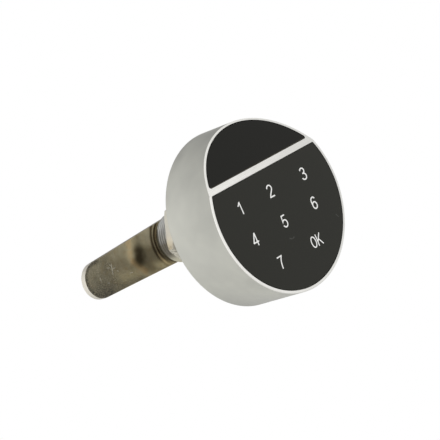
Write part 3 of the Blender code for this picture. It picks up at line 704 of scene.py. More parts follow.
spindle_metal = plain_finish("spindle_steel", (0.54, 0.53, 0.49), 0.32, 1.0, vary=0.06, stretch=(1, 6, 1), grain=0.1 * MM)
rubber = plain_finish("black_rubber", (0.022, 0.022, 0.022), 0.72, 0.0, vary=0.25, blotch=1.5 * MM, grain=0.07 * MM,
                      depth=0.012 * MM)

# nickel plate on the cam: brown stains in patches, speckled towards the tip, with painted reflections and painted shade
# near the barrel
cam_metal = Finish("cam_nickel", (0.55, 0.48, 0.32), 0.18, 0.80)
x_pos, z_pos = cam_metal.axis("X"), cam_metal.axis("Z")
tip = cam_metal.fit(x_pos, -31 * MM, -40 * MM, 0.0, 1.0, soft=True)
cloud = cam_metal.noise(3.4 * MM, 4.0, 0.6, warp=0.8)
mottle = cam_metal.noise(0.62 * MM, 3.0, 0.65)
dots = cam_metal.cells(0.75 * MM)
base = cam_metal.mix(cam_metal.fit(cloud, 0.32, 0.70), (0.61, 0.545, 0.370), (0.74, 0.665, 0.465))
# brown heat stains, and amber bands painted as a reflection of the nut
warm = cam_metal.fit(cam_metal.noise(2.2 * MM, 2.0, at=(4 * MM, 0, 0)), 0.52, 0.68)
base = cam_metal.mix(cam_metal.math("MULTIPLY", warm, 0.35), base, (0.56, 0.42, 0.22))
# painted reflection of the nut: amber bands along its mirrored edge
for a, b, force in (((-20.4, 9.0), (-22.8, 4.4), 0.44), ((-22.8, 4.4), (-24.0, 1.0), 0.26),
                    ((-24.4, 1.4), (-18.6, -6.9), 0.66)):
    painted_light_band = cam_metal.fit(cam_metal.scratch(a, b, 1.9), 0.0, 1.0, soft=True)
    base = cam_metal.mix(cam_metal.math("MULTIPLY", painted_light_band, force), base, (0.72, 0.51, 0.27))
# painted dark reflection: a dark patch on the face beside the barrel
near = None
for at in ((-18.8, 2.0), (-19.4, 0.8), (-20.0, -0.4)):
    one = cam_metal.distance((at[0] * MM, 0, at[1] * MM), (1, 0, 1))
    near = one if near is None else cam_metal.math("MINIMUM", near, one)
near = cam_metal.math("ADD", near, cam_metal.math("MULTIPLY", cloud, 1.6 * MM))
base = cam_metal.mix(cam_metal.fit(near, 5.2 * MM, 1.3 * MM, 0.0, 0.90, soft=True), base, (0.085, 0.066, 0.038))
# painted shade: the lower part of the face near the barrel is darkened
shady = cam_metal.math("MULTIPLY", cam_metal.fit(x_pos, -32 * MM, -25 * MM), cam_metal.fit(z_pos, 3.5 * MM, -1.5 * MM))
base = cam_metal.mix(shady, base, (0.78, 0.78, 0.79), "MULTIPLY")
# a darker patch low beside the barrel
near = cam_metal.distance((-16.9 * MM, 0, -5.4 * MM), (0.8, 0, 1.0))
base = cam_metal.mix(cam_metal.fit(near, 3.4 * MM, 0.8 * MM, 0.0, 0.38, soft=True), base, (0.13, 0.095, 0.055))
# painted shade and painted reflections round the barrel's end: two dark rings, an amber reflection ring and a pale
# highlight ring
ring_r = cam_metal.math("ADD", cam_metal.distance((0, 0, 0), (1, 0, 1)), cam_metal.math("MULTIPLY", cloud, 0.5 * MM))
upper = cam_metal.fit(z_pos, -5.5 * MM, -2.0 * MM, 0.35, 1.0)
for at, wide, force in ((10.25, 0.62, 0.92), (11.80, 0.95, 0.90)):
    away = cam_metal.math("ABSOLUTE", cam_metal.math("SUBTRACT", ring_r, at * MM))
    ring = cam_metal.math("MULTIPLY", cam_metal.fit(away, wide * MM, 0.20 * MM, 0.0, force), upper)
    base = cam_metal.mix(ring, base, (0.085, 0.055, 0.026))
# painted reflection: an amber ring from the nut's bright edge
amber_reflection_ring = cam_metal.math("ABSOLUTE", cam_metal.math("SUBTRACT", ring_r, 11.15 * MM))
amber_reflection_ring = cam_metal.math("MULTIPLY", cam_metal.fit(amber_reflection_ring, 0.55 * MM, 0.1 * MM, 0.0, 0.75),
                        cam_metal.math("MULTIPLY", cam_metal.fit(z_pos, -1.2 * MM, -2.4 * MM), cam_metal.fit(z_pos, -7.5 * MM, -5.5 * MM)))
base = cam_metal.mix(amber_reflection_ring, base, (0.95, 0.76, 0.48))
# painted highlight: a pale ring further out
gleam = cam_metal.math("ABSOLUTE", cam_metal.math("SUBTRACT", ring_r, 13.5 * MM))
gleam = cam_metal.math("MULTIPLY", cam_metal.fit(gleam, 0.9 * MM, 0.2 * MM, 0.0, 0.24),
                       cam_metal.math("MULTIPLY", cam_metal.fit(z_pos, 8.5 * MM, 6.8 * MM), cam_metal.fit(z_pos, 0.5 * MM, 3.0 * MM)))
base = cam_metal.mix(gleam, base, (0.86, 0.78, 0.60))
# dark specks, denser at the tip and along its edge
dirt = cam_metal.math("MULTIPLY", tip, cam_metal.fit(z_pos, 4 * MM, -6 * MM, 0.38, 1.0))
rim_dirt = cam_metal.fit(cam_metal.distance((-40.7 * MM, 0, 0), (1, 0, 1)), 5.2 * MM, 6.7 * MM)
rim_dirt = cam_metal.math("MULTIPLY", rim_dirt, cam_metal.fit(x_pos, -37.5 * MM, -39.5 * MM))
cover = cam_metal.math("ADD", cam_metal.math("MULTIPLY", dirt, 1.0), cam_metal.math("MULTIPLY", rim_dirt, 0.85), clamp=True)
# darker towards the bottom of the tip: painted dark reflection, with dirt specks over it
low_tip_dark = cam_metal.math("MULTIPLY", cam_metal.fit(z_pos, -1.5 * MM, -6.0 * MM, 0.0, 0.85), cam_metal.fit(x_pos, -34 * MM, -38 * MM))
cover = cam_metal.math("MAXIMUM", cover, low_tip_dark)
speckle = cam_metal.math("MULTIPLY", cam_metal.fit(mottle, 0.36, 0.58, 0.42, 1.0), cover)
base = cam_metal.mix(speckle, base, (0.066, 0.064, 0.056))
# painted dark reflection along the bottom of the tip
base = cam_metal.mix(cam_metal.math("MULTIPLY", low_tip_dark, 0.45), base, (0.10, 0.088, 0.070))
grain = cam_metal.math("MULTIPLY", cam_metal.fit(cam_metal.noise(0.42 * MM, 2.0), 0.40, 0.62, 0.0, 0.45), cam_metal.fit(x_pos, -27 * MM, -35 * MM))
base = cam_metal.mix(grain, base, (0.27, 0.25, 0.19))
fleck = cam_metal.math("MULTIPLY", cam_metal.fit(dots, 0.17, 0.10), cam_metal.fit(x_pos, -24 * MM, -34 * MM))
base = cam_metal.mix(cam_metal.math("MULTIPLY", fleck, 0.45), base, (0.72, 0.69, 0.60))
marks = None
for a, b, wide in (((-33.1, 3.3), (-34.6, -1.2), 0.24), ((-31.9, 1.1), (-33.9, 1.3), 0.20), ((-31.3, -0.7), (-32.1, 0.1), 0.14),
                   ((-35.9, 2.6), (-34.3, 1.9), 0.18), ((-34.2, 3.4), (-33.4, 1.9), 0.16), ((-40.5, 0.8), (-40.7, -0.8), 0.20),
                   ((-38.4, -2.3), (-37.3, -2.9), 0.14), ((-27.2, -3.2), (-25.4, -3.4), 0.12)):
    one = cam_metal.scratch(a, b, wide * 1.15)
    marks = one if marks is None else cam_metal.math("MAXIMUM", marks, one)
base = cam_metal.mix(cam_metal.math("MULTIPLY", marks, 0.65), base, (0.74, 0.71, 0.62))
cam_metal.link(cam_metal.fit(marks, 0.0, 1.0, 0.80, 0.55), cam_metal.bsdf.inputs["Metallic"])
cam_metal.color(base)
cam_metal.rough(cam_metal.math("ADD", cam_metal.fit(cloud, 0.3, 0.7, 0.14, 0.21),
                               cam_metal.math("MULTIPLY", tip, cam_metal.fit(mottle, 0.3, 0.7, 0.16, 0.34))))
cam_metal.bump(cam_metal.noise(2.0 * MM, 2.0), 0.02 * MM)
cam_metal.bump(mottle, 0.006 * MM)
# painted light on the cam's edge: a lit pale copy of the nickel for the tip's edge, and a shaded dark copy for the
# other edges
cam_tip_edge_highlight = plain_finish("cam_edge_nickel_painted_highlight", (0.83, 0.79, 0.70), 0.30, 1.0, vary=0.05, blotch=2.0 * MM)
cam_flank_shade = plain_finish("cam_flank_nickel_painted_shade", (0.15, 0.13, 0.09), 0.42, 0.7, vary=0.15, blotch=2.0 * MM)

# turned steel with fine rings round the lock axis
cover_metal = Finish("cover_steel", (0.50, 0.50, 0.475), 0.34, 1.0)
rings_at = cover_metal.distance((0, 0, 0), (1, 0, 1))
ring_lines = cover_metal.add("ShaderNodeTexNoise")
pack = cover_metal.add("ShaderNodeCombineXYZ")
cover_metal.link(rings_at, pack.inputs[0])
cover_metal.tree.links.new(pack.outputs[0], ring_lines.inputs["Vector"])
ring_lines.inputs["Scale"].default_value = 1.0 / (0.10 * MM)
cloud = cover_metal.noise(6 * MM, 3.0)
cover_metal.color(cover_metal.mix(cover_metal.fit(cloud, 0.3, 0.7), (0.46, 0.46, 0.44), (0.55, 0.55, 0.52)))
cover_metal.rough(cover_metal.fit(ring_lines.outputs["Fac"], 0.3, 0.7, 0.28, 0.42))
cover_metal.bump(ring_lines.outputs["Fac"], 0.004 * MM)

white_plastic = plain_finish("white_plastic", (0.72, 0.71, 0.66), 0.48, 0.0, vary=0.03, grain=0.2 * MM, depth=0.006 * MM)
dark_plastic = plain_finish("carrier_plastic", (0.055, 0.055, 0.060), 0.55, 0.0, vary=0.15, grain=0.22 * MM,
                            depth=0.012 * MM)
chip_black = plain_finish("chip_black", (0.020, 0.020, 0.020), 0.52, 0.0, vary=0.2, blotch=1.0 * MM, grain=0.06 * MM,
                          depth=0.005 * MM)
aluminium = plain_finish("can_aluminium", (0.80, 0.80, 0.80), 0.26, 1.0, vary=0.04, blotch=1 * MM, grain=0.08 * MM)
cell_steel = plain_finish("cell_steel", (0.66, 0.655, 0.63), 0.26, 1.0, vary=0.05, blotch=5 * MM, grain=0.09 * MM,
                          stretch=(0.08, 1, 1))
brass = plain_finish("contact_brass", (0.74, 0.56, 0.26), 0.27, 1.0, vary=0.06, blotch=2 * MM, grain=0.08 * MM,
                     stretch=(0.05, 1, 1))
tin = plain_finish("tinned_leads", (0.74, 0.73, 0.70), 0.32, 1.0, vary=0.06, blotch=0.5 * MM, grain=0.05 * MM)


def board_finish(name, turn=(0, 0, 0)):
    """Green solder mask with lighter tracks, and tinned vias where cells meet."""
    f = Finish(name, (0.015, 0.12, 0.045), 0.36)
    tracks = f.add("ShaderNodeTexBrick")
    tracks.offset, tracks.squash = 0.37, 0.7
    f.tree.links.new(f.where(turn=turn), tracks.inputs["Vector"])
    for key, value in (("Scale", 1.0), ("Mortar Size", 0.16 * MM), ("Brick Width", 2.3 * MM), ("Row Height", 0.9 * MM),
                       ("Mortar Smooth", 0.15)):
        tracks.inputs[key].default_value = value
    gate = f.fit(f.noise(3.0 * MM, 1.0), 0.46, 0.50)
    copper = f.math("MULTIPLY", tracks.outputs["Fac"], gate)
    via = f.fit(f.cells(1.9 * MM, random=0.6), 0.14, 0.11)
    tone = f.mix(copper, (0.012, 0.105, 0.040), (0.035, 0.23, 0.085))
    f.color(f.mix(via, tone, (0.62, 0.58, 0.44)))
    f.rough(f.fit(f.noise(0.4 * MM), 0.3, 0.7, 0.30, 0.42))
    f.bump(copper, 0.02 * MM)
    return f


board_back = board_finish("circuit_board_main", (math.radians(90), 0, 0))
board_front = board_finish("circuit_board_touch", (math.radians(90), 0, 0))
film = Finish("ribbon_film", (0.60, 0.31, 0.08), 0.36)
wave = film.math("SINE", film.math("MULTIPLY", film.axis("X"), 2 * math.pi / (0.5 * MM)))
film.color(film.mix(film.fit(wave, 0.2, 0.5), (0.48, 0.22, 0.05), (0.78, 0.46, 0.16)))
film.rough(film.fit(film.noise(1 * MM), 0.3, 0.7, 0.3, 0.45))
film.bump(wave, 0.01 * MM)


def led_finish(name, tint):
    f = Finish(name, tint, 0.18, 0.0, Transmission_Weight=0.55)
    f.color(f.mix(f.fit(f.distance((0, 0, 0)), 0.0, 1.2 * MM), tint, scaled(tint, 0.7)))
    f.rough(f.fit(f.noise(0.3 * MM), 0.3, 0.7, 0.12, 0.25))
    return f


# ================================================================ knob shell
shell = raw("knob_casting", turned_mesh(
    fillet(mm([(0, -0.5), (32.3, -0.5, 0.15)] + [(32.3, y) for y in
               (-1.2, -2.5, -5.5, -9.5, -13.0, -16.0, *[-16.5 - 0.5 * k for k in range(14)])]
              + [(32.3, -23.6, 0.28), (0, -23.6)]), closed=False, n=5), 288))
carve(shell, [facet_block(0.0)])
cavity = raw("cavity", turned_mesh(mm([(0, 3), (29.5, 3), (29.5, -19.25), (0, -19.25)]), 160))
carve(cavity, [facet_block(FACET_WALL * math.cos(SLOPE))])
carve(shell, [loose(cavity)])
edit(shell, lambda bm: bmesh.ops.remove_doubles(bm, verts=bm.verts, dist=0.000002))
carve(shell, [
    slab_mesh(segment_outline(GLASS_R_LOW, RIDGE_Z, False, 0.6 * MM, 240), -25 * MM, -20.85 * MM, 0.0),
    slab_mesh(facet_outline(GLASS_R_UP, STRIP_TOP_Z, 0.72 * MM, 160), -2.0 * MM, 3.05 * MM, 0.0, matrix=facet_matrix()),
    block_mesh((-5 * MM, -22 * MM, -21.4 * MM), (5 * MM, -18 * MM, -18.9 * MM)),
    block_mesh((-2.6 * MM, -21 * MM, 17.4 * MM), (2.6 * MM, -15 * MM, 18.9 * MM))])
carve(shell, [rod_mesh(2.6 * MM, -17.6 * MM if sz > 0 else -20.0 * MM, -3.7 * MM, sx * POST, sz * POST, 40)
              for sx, sz in CORNERS]
      + [rod_mesh(2.4 * MM, -19.8 * MM, -19.05 * MM, x, -8 * MM) for x in (-22 * MM, 22 * MM)], "UNION")
carve(shell, [rod_mesh(1.4 * MM, -12 * MM, 0.0, sx * POST, sz * POST, 28) for sx, sz in CORNERS]
      + [rod_mesh(1.1 * MM, -20.2 * MM, -18.0 * MM, x, -8 * MM, 24) for x in (-22 * MM, 22 * MM)])
soften(shell, 0.46 * MM, lambda p, e: abs((p - RIDGE).dot(FACE_OUT)) < 0.02 * MM and p.z > RIDGE_Z and radius(p) > 31.6 * MM,
       n=3, angle=30)
soften(shell, 0.07 * MM, lambda p, e: on_front(p) and radius(p) < 31.6 * MM, n=2, angle=30)
soften(shell, 0.18 * MM, lambda p, e: abs(p.y - HEAD_REAR) < 0.02 * MM and abs(radius(p) - 29.5 * MM) < 0.1 * MM, n=2)


def split_shell(obj):
    """The cut rim and the strip are bright, the rest is satin."""
    for poly in obj.data.polygons:
        c, nrm = poly.center, poly.normal
        facing = max(-nrm.y, nrm.dot(FACE_OUT))
        poly.material_index = 1 if on_front(c, 0.60 * MM) and facing > 0.25 and radius(c) < (
            32.29 if c.z < RIDGE_Z else 31.98) * MM else 0


piece("knob_casting", shell, (satin, bright), "knob_shell")
split_shell(shell)

# ================================================================ panels
piece("keypad_panel", slab_mesh(segment_outline(GLASS_R_LOW - 0.25 * MM, RIDGE_Z - 0.25 * MM, False, 0.5 * MM, 240),
                                -23.55 * MM, -22.45 * MM, 0.10 * MM, 3), panel, "keypad_lens")
top_glass = raw("sloping_panel", slab_mesh(
    facet_outline(GLASS_R_UP - 0.25 * MM, STRIP_TOP_Z + 0.25 * MM, 0.55 * MM, 160),
    0.05 * MM, 1.15 * MM, 0.10 * MM, 3, matrix=facet_matrix()))
piece("sloping_panel", top_glass, (upper_panel, glue), "upper_lens")
chord_up = (STRIP_TOP_Z + 0.25 * MM - RIDGE_Z) / math.cos(SLOPE)
for poly in top_glass.data.polygons:
    up = (poly.center - RIDGE).dot(FACE_UP)
    poly.material_index = 1 if up < chord_up + 0.09 * MM and abs(poly.normal.dot(FACE_OUT)) < 0.97 else 0


# ================================================================ keypad figures
def ribbon(points, w, closed=False):
    """Outline of a pen line of that width, with square ends; a closed line gives two loops."""
    pts = [Vector(p) for p in points]
    n = len(pts)
    left, right = [], []
    for i, p in enumerate(pts):
        before = pts[i - 1] if i or closed else None
        after = pts[(i + 1) % n] if i < n - 1 or closed else None
        a = (p - before).normalized() if before is not None else (after - p).normalized()
        b = (after - p).normalized() if after is not None else a
        na, nb = Vector((-a.y, a.x)), Vector((-b.y, b.x))
        m = (na + nb).normalized()
        m = m / max(0.34, m.dot(na))
        left.append(p + m * w / 2)
        right.append(p - m * w / 2)
    if closed:
        return [tuple(p) for p in left], [tuple(p) for p in right]
    return [tuple(p) for p in left + right[::-1]], None


PI = math.pi
STROKE = 0.100
# pen lines on a unit cap height: (points, closed)
GLYPHS = {
    "1": [([(0.0, 0.715), (0.12, 0.80), (0.225, 0.95)], False), ([(0.26, 0.0), (0.26, 1.0)], False)],
    "2": [(arc(0.27, 0.70, 0.235, math.radians(172), math.radians(-28), 18, 0.245)
           + [(0.35, 0.43), (0.20, 0.27), (0.115, 0.165), (0.075, 0.06)], False), ([(0.015, 0.055), (0.54, 0.055)], False)],
    "3": [(arc(0.255, 0.735, 0.205, math.radians(165), math.radians(-62), 18, 0.21)
           + [(0.20, 0.525)], False),
          ([(0.20, 0.525)] + arc(0.26, 0.285, 0.235, math.radians(75), math.radians(-165), 22, 0.235), False)],
    "4": [([(0.41, 0.0), (0.41, 1.0)], False), ([(0.385, 0.945), (0.045, 0.30)], False), ([(0.0, 0.285), (0.57, 0.285)], False)],
    "5": [([(0.50, 0.945), (0.155, 0.945), (0.095, 0.49)]
           + arc(0.275, 0.33, 0.235, math.radians(128), math.radians(-160), 24, 0.275), False)],
    "6": [(arc(0.285, 0.315, 0.225, 0.0, 2 * PI, 40, 0.26)[:-1], True),
          ([(0.50, 0.80)] + arc(0.315, 0.66, 0.255, math.radians(62), math.radians(180), 14, 0.285)
           + [(0.055, 0.50), (0.060, 0.34)], False)],
    "7": [([(0.03, 0.945), (0.535, 0.945), (0.40, 0.75), (0.305, 0.53), (0.245, 0.28), (0.215, 0.0)], False)],
    "O": [(arc(0.36, 0.5, 0.265, 0.0, 2 * PI, 48, 0.445)[:-1], True)],
    "K": [([(0.06, 0.0), (0.06, 1.0)], False), ([(0.06, 0.34), (0.57, 0.985)], False),
          ([(0.235, 0.56), (0.60, 0.0)], False)],
}


def glyph(name, height, gauge=STROKE):
    """One figure as a thin closed body standing in the XZ plane, with its ink centre at the origin."""
    parts = []
    for i, (pts, closed) in enumerate(GLYPHS[name]):
        outer, inner = ribbon(pts, gauge, closed)
        if inner is not None:
            area = sum(a[0] * b[1] - a[1] * b[0] for a, b in zip(outer, outer[1:] + outer[:1]))
            area2 = sum(a[0] * b[1] - a[1] * b[0] for a, b in zip(inner, inner[1:] + inner[:1]))
            if abs(area) < abs(area2):
                outer, inner = inner, outer
        scale = lambda loop: [(x * height, z * height) for x, z in loop]
        parts.append(slab_mesh(scale(outer), -0.020 * MM, 0.001 * MM, 0.0, holes=(scale(inner),) if inner else ()))
    obj = raw("figure", parts[0])
    if len(parts) > 1:
        carve(obj, parts[1:], "UNION")
    return obj


def ink_centre(meshes):
    total, cx, cz = 0.0, 0.0, 0.0
    for me in meshes:
        for poly in me.polygons:
            if poly.normal.y < -0.9:
                total += poly.area
                cx += poly.center.x * poly.area
                cz += poly.center.z * poly.area
    return cx / total, cz / total


CAP = 4.75 * MM
# label: ink centre in millimetres, and its width and height against the cap height
FIGURES = {"1": (-18.09, 5.88, 0.96, 0.95), "2": (-1.74, 5.37, 1.03, 0.99), "3": (17.36, 4.72, 1.06, 0.99),
           "4": (-17.88, -6.83, 1.05, 0.98), "5": (-1.20, -7.19, 1.04, 0.98), "6": (15.94, -6.34, 1.03, 0.99),
           "7": (-11.00, -18.06, 1.0, 0.96), "OK": (9.21, -18.42, 0.93, 0.91)}
for label, (px, pz, wide, tall) in FIGURES.items():
    made = []
    for k, letter in enumerate(label):
        g = glyph(letter, CAP)
        g.data.transform(Matrix.Translation((k * 0.75 * CAP, 0.0, 0.0)))
        made.append(g)
    cx, cz = ink_centre([g.data for g in made])
    bm = merge(*[loose(g) for g in made])
    bm.transform(Matrix.Translation((px * MM, -23.55 * MM, pz * MM)) @ Matrix.Diagonal((wide, 1.0, tall, 1.0))
                 @ Matrix.Translation((-cx, 0.0, -cz)))
    piece("figure_" + label, bm, ink, "keypad_lens", also=None)

# ================================================================ barrel, nut and gasket
flange = raw("flange", turned_mesh(fillet(mm([(6.0, -0.2), (6.0, -3.0, 0.2), (15.2, -3.0, 0.3), (15.2, -1.1, 0.3),
                                              (8.6, -1.1), (8.6, -0.2)]), n=4), 144))
start, stop = PI - PI / 2 - 1.65 / 12.4, PI + 1.65 / 12.4
carve(flange, [
    slab_mesh(arc(0, 0, PIN_RING_R - 1.65 * MM, start, stop, 40) + arc(0, 0, PIN_RING_R + 1.65 * MM, stop, start, 40),
              -4 * MM, -0.3 * MM, 0.0),
    rod_mesh(1.8 * MM, -4 * MM, -0.3 * MM, PIN_RING_R, 0.0), rod_mesh(1.8 * MM, -4 * MM, -0.3 * MM, 0.0, -PIN_RING_R)])
barrel = join_at("threaded_barrel", flange, thread_mesh(
    BARREL_R, 1.2 * MM, 0.74 * MM, -0.2 * MM, 33.1 * MM, mm([(6.35, 33.1), (6.0, 32.75), (6.0, -0.2)]),
    mm([(8.6, -0.2)]), steps=144, rows=12, lead=0.7 * MM, flat=(8.1 * MM, 0.6 * MM)), -0.2 * MM, 6.0 * MM, 8.6 * MM)
piece("threaded_barrel", barrel, barrel_metal, "barrel", angle=50)

tilt = math.radians(35.9)
NUT_FLAT, NUT_FRONT, NUT_REAR = 12.6 * MM, 20.3 * MM, 23.65 * MM      # half across flats, and both faces
hexagon = [(NUT_FLAT / math.cos(PI / 6) * math.cos(tilt + PI / 6 + k * PI / 3),
            NUT_FLAT / math.cos(PI / 6) * math.sin(tilt + PI / 6 + k * PI / 3), 0.30 * MM) for k in range(6)]
nut = raw("hex_nut", slab_mesh(fillet(hexagon, n=4), NUT_FRONT, NUT_REAR, 0.0, holes=(circle(0, 0, BARREL_R + 0.3 * MM, 96),)))
carve(nut, [turned_mesh(mm([(13.23, 23.75), (30, 14.07), (30, 27), (13.23, 27)]), 192)])
carve(nut, [turned_mesh(mm([(13.23, 20.2), (13.23, 15), (30, 15), (30, 29.88)]), 192)])
carve(nut, [turned_mesh(mm([(0, 23.95), (10.6, 23.95), (9.7, 23.05), (0, 23.05)]), 96),
            turned_mesh(mm([(0, 20.9), (9.7, 20.9), (10.6, 20.0), (0, 20.0)]), 96)])
soften(nut, 0.06 * MM, lambda p, e: radius(p) > 11 * MM, n=2, angle=22)
piece("hex_nut", nut, nut_metal, "mounting_nut", angle=30)

piece("gasket", turned_mesh(fillet(mm([(15.0, 0.0, 0.2), (15.0, -0.8, 0.2), (12.6, -0.8, 0.1), (12.4, -0.62, 0.1),
                                       (12.0, -0.62, 0.1), (11.8, -0.8, 0.1), (9.8, -0.8, 0.15), (9.8, 0.0, 0.15),
                                       (11.8, 0.0, 0.1), (12.0, -0.18, 0.1), (12.4, -0.18, 0.1), (12.6, 0.0, 0.1)]), n=3), 144),
      rubber, "seat_gasket")

# ================================================================ cam and what holds it
TIP_X, TIP_R, HALF = -40.7 * MM, 6.8 * MM, 8.5 * MM
qa, qb, qc = TIP_X ** 2 - TIP_R ** 2, 2 * HALF * TIP_X, HALF ** 2 - TIP_R ** 2
phi = math.atan((-qb - math.sqrt(qb * qb - 4 * qa * qc)) / (2 * qa))
hub = HALF * math.cos(phi)
square = fillet([(4.3 * MM, 4.3 * MM, 0.5 * MM), (-4.3 * MM, 4.3 * MM, 0.5 * MM), (-4.3 * MM, -4.3 * MM, 0.5 * MM),
                 (4.3 * MM, -4.3 * MM, 0.5 * MM)], n=5)
cam = raw("cam_plate", slab_mesh(
    arc(TIP_X, 0, TIP_R, PI / 2 + phi, 1.5 * PI - phi, 72) + arc(0, 0, hub, -PI / 2 - phi, PI / 2 + phi, 96),
    33.4 * MM, 35.7 * MM, 0.12 * MM, 4, holes=(square,), hole_edge=0.12 * MM))
piece("cam_plate", cam, (cam_metal, cam_tip_edge_highlight, cam_flank_shade), "cam", angle=50)
# the tip's edge takes the painted highlight, the other edges take the painted shade
for poly in cam.data.polygons:
    poly.material_index = 0 if abs(poly.normal.y) > 0.55 else (1 if poly.center.x < TIP_X + 2.2 * MM else 2)

piece("cam_washer_plate", turned_mesh(fillet(mm([(7.0, 37.0, 0.2), (7.0, 36.0, 0.12), (2.75, 36.0, 0.1), (2.75, 37.0, 0.1)])), 96),
      washer_metal, "cam_washer")
head = raw("head", turned_mesh(fillet(mm([(0, 36.8), (1.8, 36.8), (1.8, 37.3), (4.6, 37.3, 0.15), (4.6, 38.6, 0.5),
                                          (4.25, 39.7, 0.6), (2.9, 40.4, 1.2), (0, 40.6)]), closed=False, n=6), 64))
carve(head, cross_tool(40.6 * MM, 1.9 * MM, 2.7 * MM, 0.52 * MM, turn=0.4))
screw = join_at("cam_fixing_screw", head, thread_mesh(2.2 * MM, 0.8 * MM, 0.42 * MM, 24.0 * MM, 36.4 * MM, mm([(1.8, 36.8)]),
                                                      [(0.0, 24.0 * MM)], steps=64, rows=8, tip=0.5 * MM), 36.8 * MM, 0.0, 1.8 * MM)
piece("cam_fixing_screw", screw, screw_metal, "cam_screw")

spindle = raw("square_spindle", turned_mesh(fillet(mm(
    [(0, 33.1), (5.6, 33.1, 0.3), (5.6, 0.9, 0.1), (4.5, 0.9, 0.2), (4.5, -0.5, 0.2), (5.6, -0.5, 0.1), (5.6, -3.8, 0.1),
     (4.4, -3.8), (4.4, -6.1), (8.0, -6.1, 0.15), (8.0, -7.9, 0.3), (0, -7.9)]), closed=False, n=4), 96))
carve(spindle, [block_mesh((-4.8 * MM, -7 * MM, -4.8 * MM), (4.8 * MM, -3.6 * MM, 4.8 * MM)),
                block_mesh((-4 * MM, 30 * MM, -4 * MM), (4 * MM, 35.5 * MM, 4 * MM))], "UNION")
carve(spindle, [rod_mesh(2.5 * MM, 22 * MM, 38 * MM, steps=48)])
soften(spindle, 0.14 * MM, lambda p, e: p.y > 33.2 * MM, n=2)
piece("square_spindle", spindle, spindle_metal, "spindle")

piece("spindle_o_ring", turned_mesh([(5.15 * MM + 0.5 * MM * math.cos(-2 * PI * k / 20), 0.2 * MM + 0.5 * MM * math.sin(-2 * PI * k / 20))
                                     for k in range(20)], 96), rubber, "o_ring")
piece("slide_washer", turned_mesh(fillet(mm([(10.2, -3.3, 0.1), (10.2, -3.7, 0.1), (6.9, -3.7, 0.1), (6.9, -3.3, 0.1)]), n=3), 96),
      white_plastic, "thrust_washer")

# ================================================================ back cover
cover = raw("rear_cover", turned_mesh(fillet(mm(
    [(5.0, -5.8), (17.6, -5.8, 0.3), (17.6, -3.4, 0.3), (29.1, -3.4, 0.2), (29.1, -1.2, 0.35), (15.7, -1.2, 0.45),
     (15.7, -4.0, 0.4), (5.0, -4.0)]), n=5), 192))
carve(cover, [block_mesh((-5.1 * MM, -8 * MM, -5.1 * MM), (5.1 * MM, 0.0, 5.1 * MM))]
      + [rod_mesh(1.4 * MM, -8 * MM, 3 * MM, sx * POST, sz * POST, 32) for sx, sz in CORNERS]
      + [rod_mesh(2.65 * MM, -2.3 * MM, 3 * MM, sx * POST, sz * POST, 48) for sx, sz in CORNERS]
      + [rod_mesh(1.8 * MM, -8 * MM, 0.0, PIN_RING_R, 0.0), rod_mesh(1.5 * MM, -8 * MM, 0.0, -PIN_RING_R, 0.0)])
soften(cover, 0.12 * MM, lambda p, e: abs(p.y + 1.2 * MM) < 0.02 * MM, n=2)
piece("rear_cover", cover, cover_metal, "back_cover")

for i, (sx, sz) in enumerate(CORNERS):
    head = raw("head", turned_mesh(fillet(mm([(0, -2.2), (0.95, -2.2), (0.95, -2.0), (2.25, -2.0, 0.1), (2.25, -1.5, 0.25),
                                              (1.5, -1.2, 0.6), (0, -1.15)]), closed=False, n=4), 48, (sx * POST, sz * POST)))
    carve(head, cross_tool(-1.15 * MM, 0.6 * MM, 1.25 * MM, 0.27 * MM, sx * POST, sz * POST, turn=0.5 + 0.7 * i))
    s = join_at("rear_screw_%d" % (i + 1), head, thread_mesh(
        1.1 * MM, 0.5 * MM, 0.24 * MM, -11.5 * MM, -2.4 * MM, mm([(0.95, -2.2)]), [(0.0, -11.5 * MM)],
        steps=48, rows=6, tip=0.35 * MM, at=(sx * POST, sz * POST)), -2.2 * MM, 0.0, 0.95 * MM, (sx * POST, sz * POST))
    piece("rear_screw_%d" % (i + 1), s, screw_metal, "cover_screw_%d" % (i + 1))

piece("turn_stop_pin", turned_mesh(fillet(mm([(0, -1.5), (1.3, -1.5, 0.22), (1.3, -5.7, 0.1), (0, -5.7)]), closed=False), 48,
                                   (-PIN_RING_R, 0.0)), screw_metal, "stop_pin")

# ================================================================ electronics and battery
for i, x in enumerate((-22 * MM, 22 * MM)):
    head = raw("head", turned_mesh(fillet(mm([(0, -17.35), (0.75, -17.35), (0.75, -17.25), (1.9, -17.25, 0.1),
                                              (1.9, -16.6, 0.3), (1.2, -16.3, 0.4), (0, -16.3)]), closed=False, n=4), 40, (x, -8 * MM)))
    carve(head, cross_tool(-16.3 * MM, 0.5 * MM, 1.0 * MM, 0.24 * MM, x, -8 * MM, turn=0.3 + i))
    s = join_at("pcb_screw_%d" % (i + 1), head, thread_mesh(
        0.85 * MM, 0.45 * MM, 0.2 * MM, -20.0 * MM, -17.5 * MM, mm([(0.75, -17.35)]), [(0.0, -20.0 * MM)],
        steps=40, rows=6, tip=0.3 * MM, at=(x, -8 * MM)), -17.35 * MM, 0.0, 0.75 * MM, (x, -8 * MM))
    piece("pcb_screw_%d" % (i + 1), s, screw_metal, "board_screw_%d" % (i + 1))

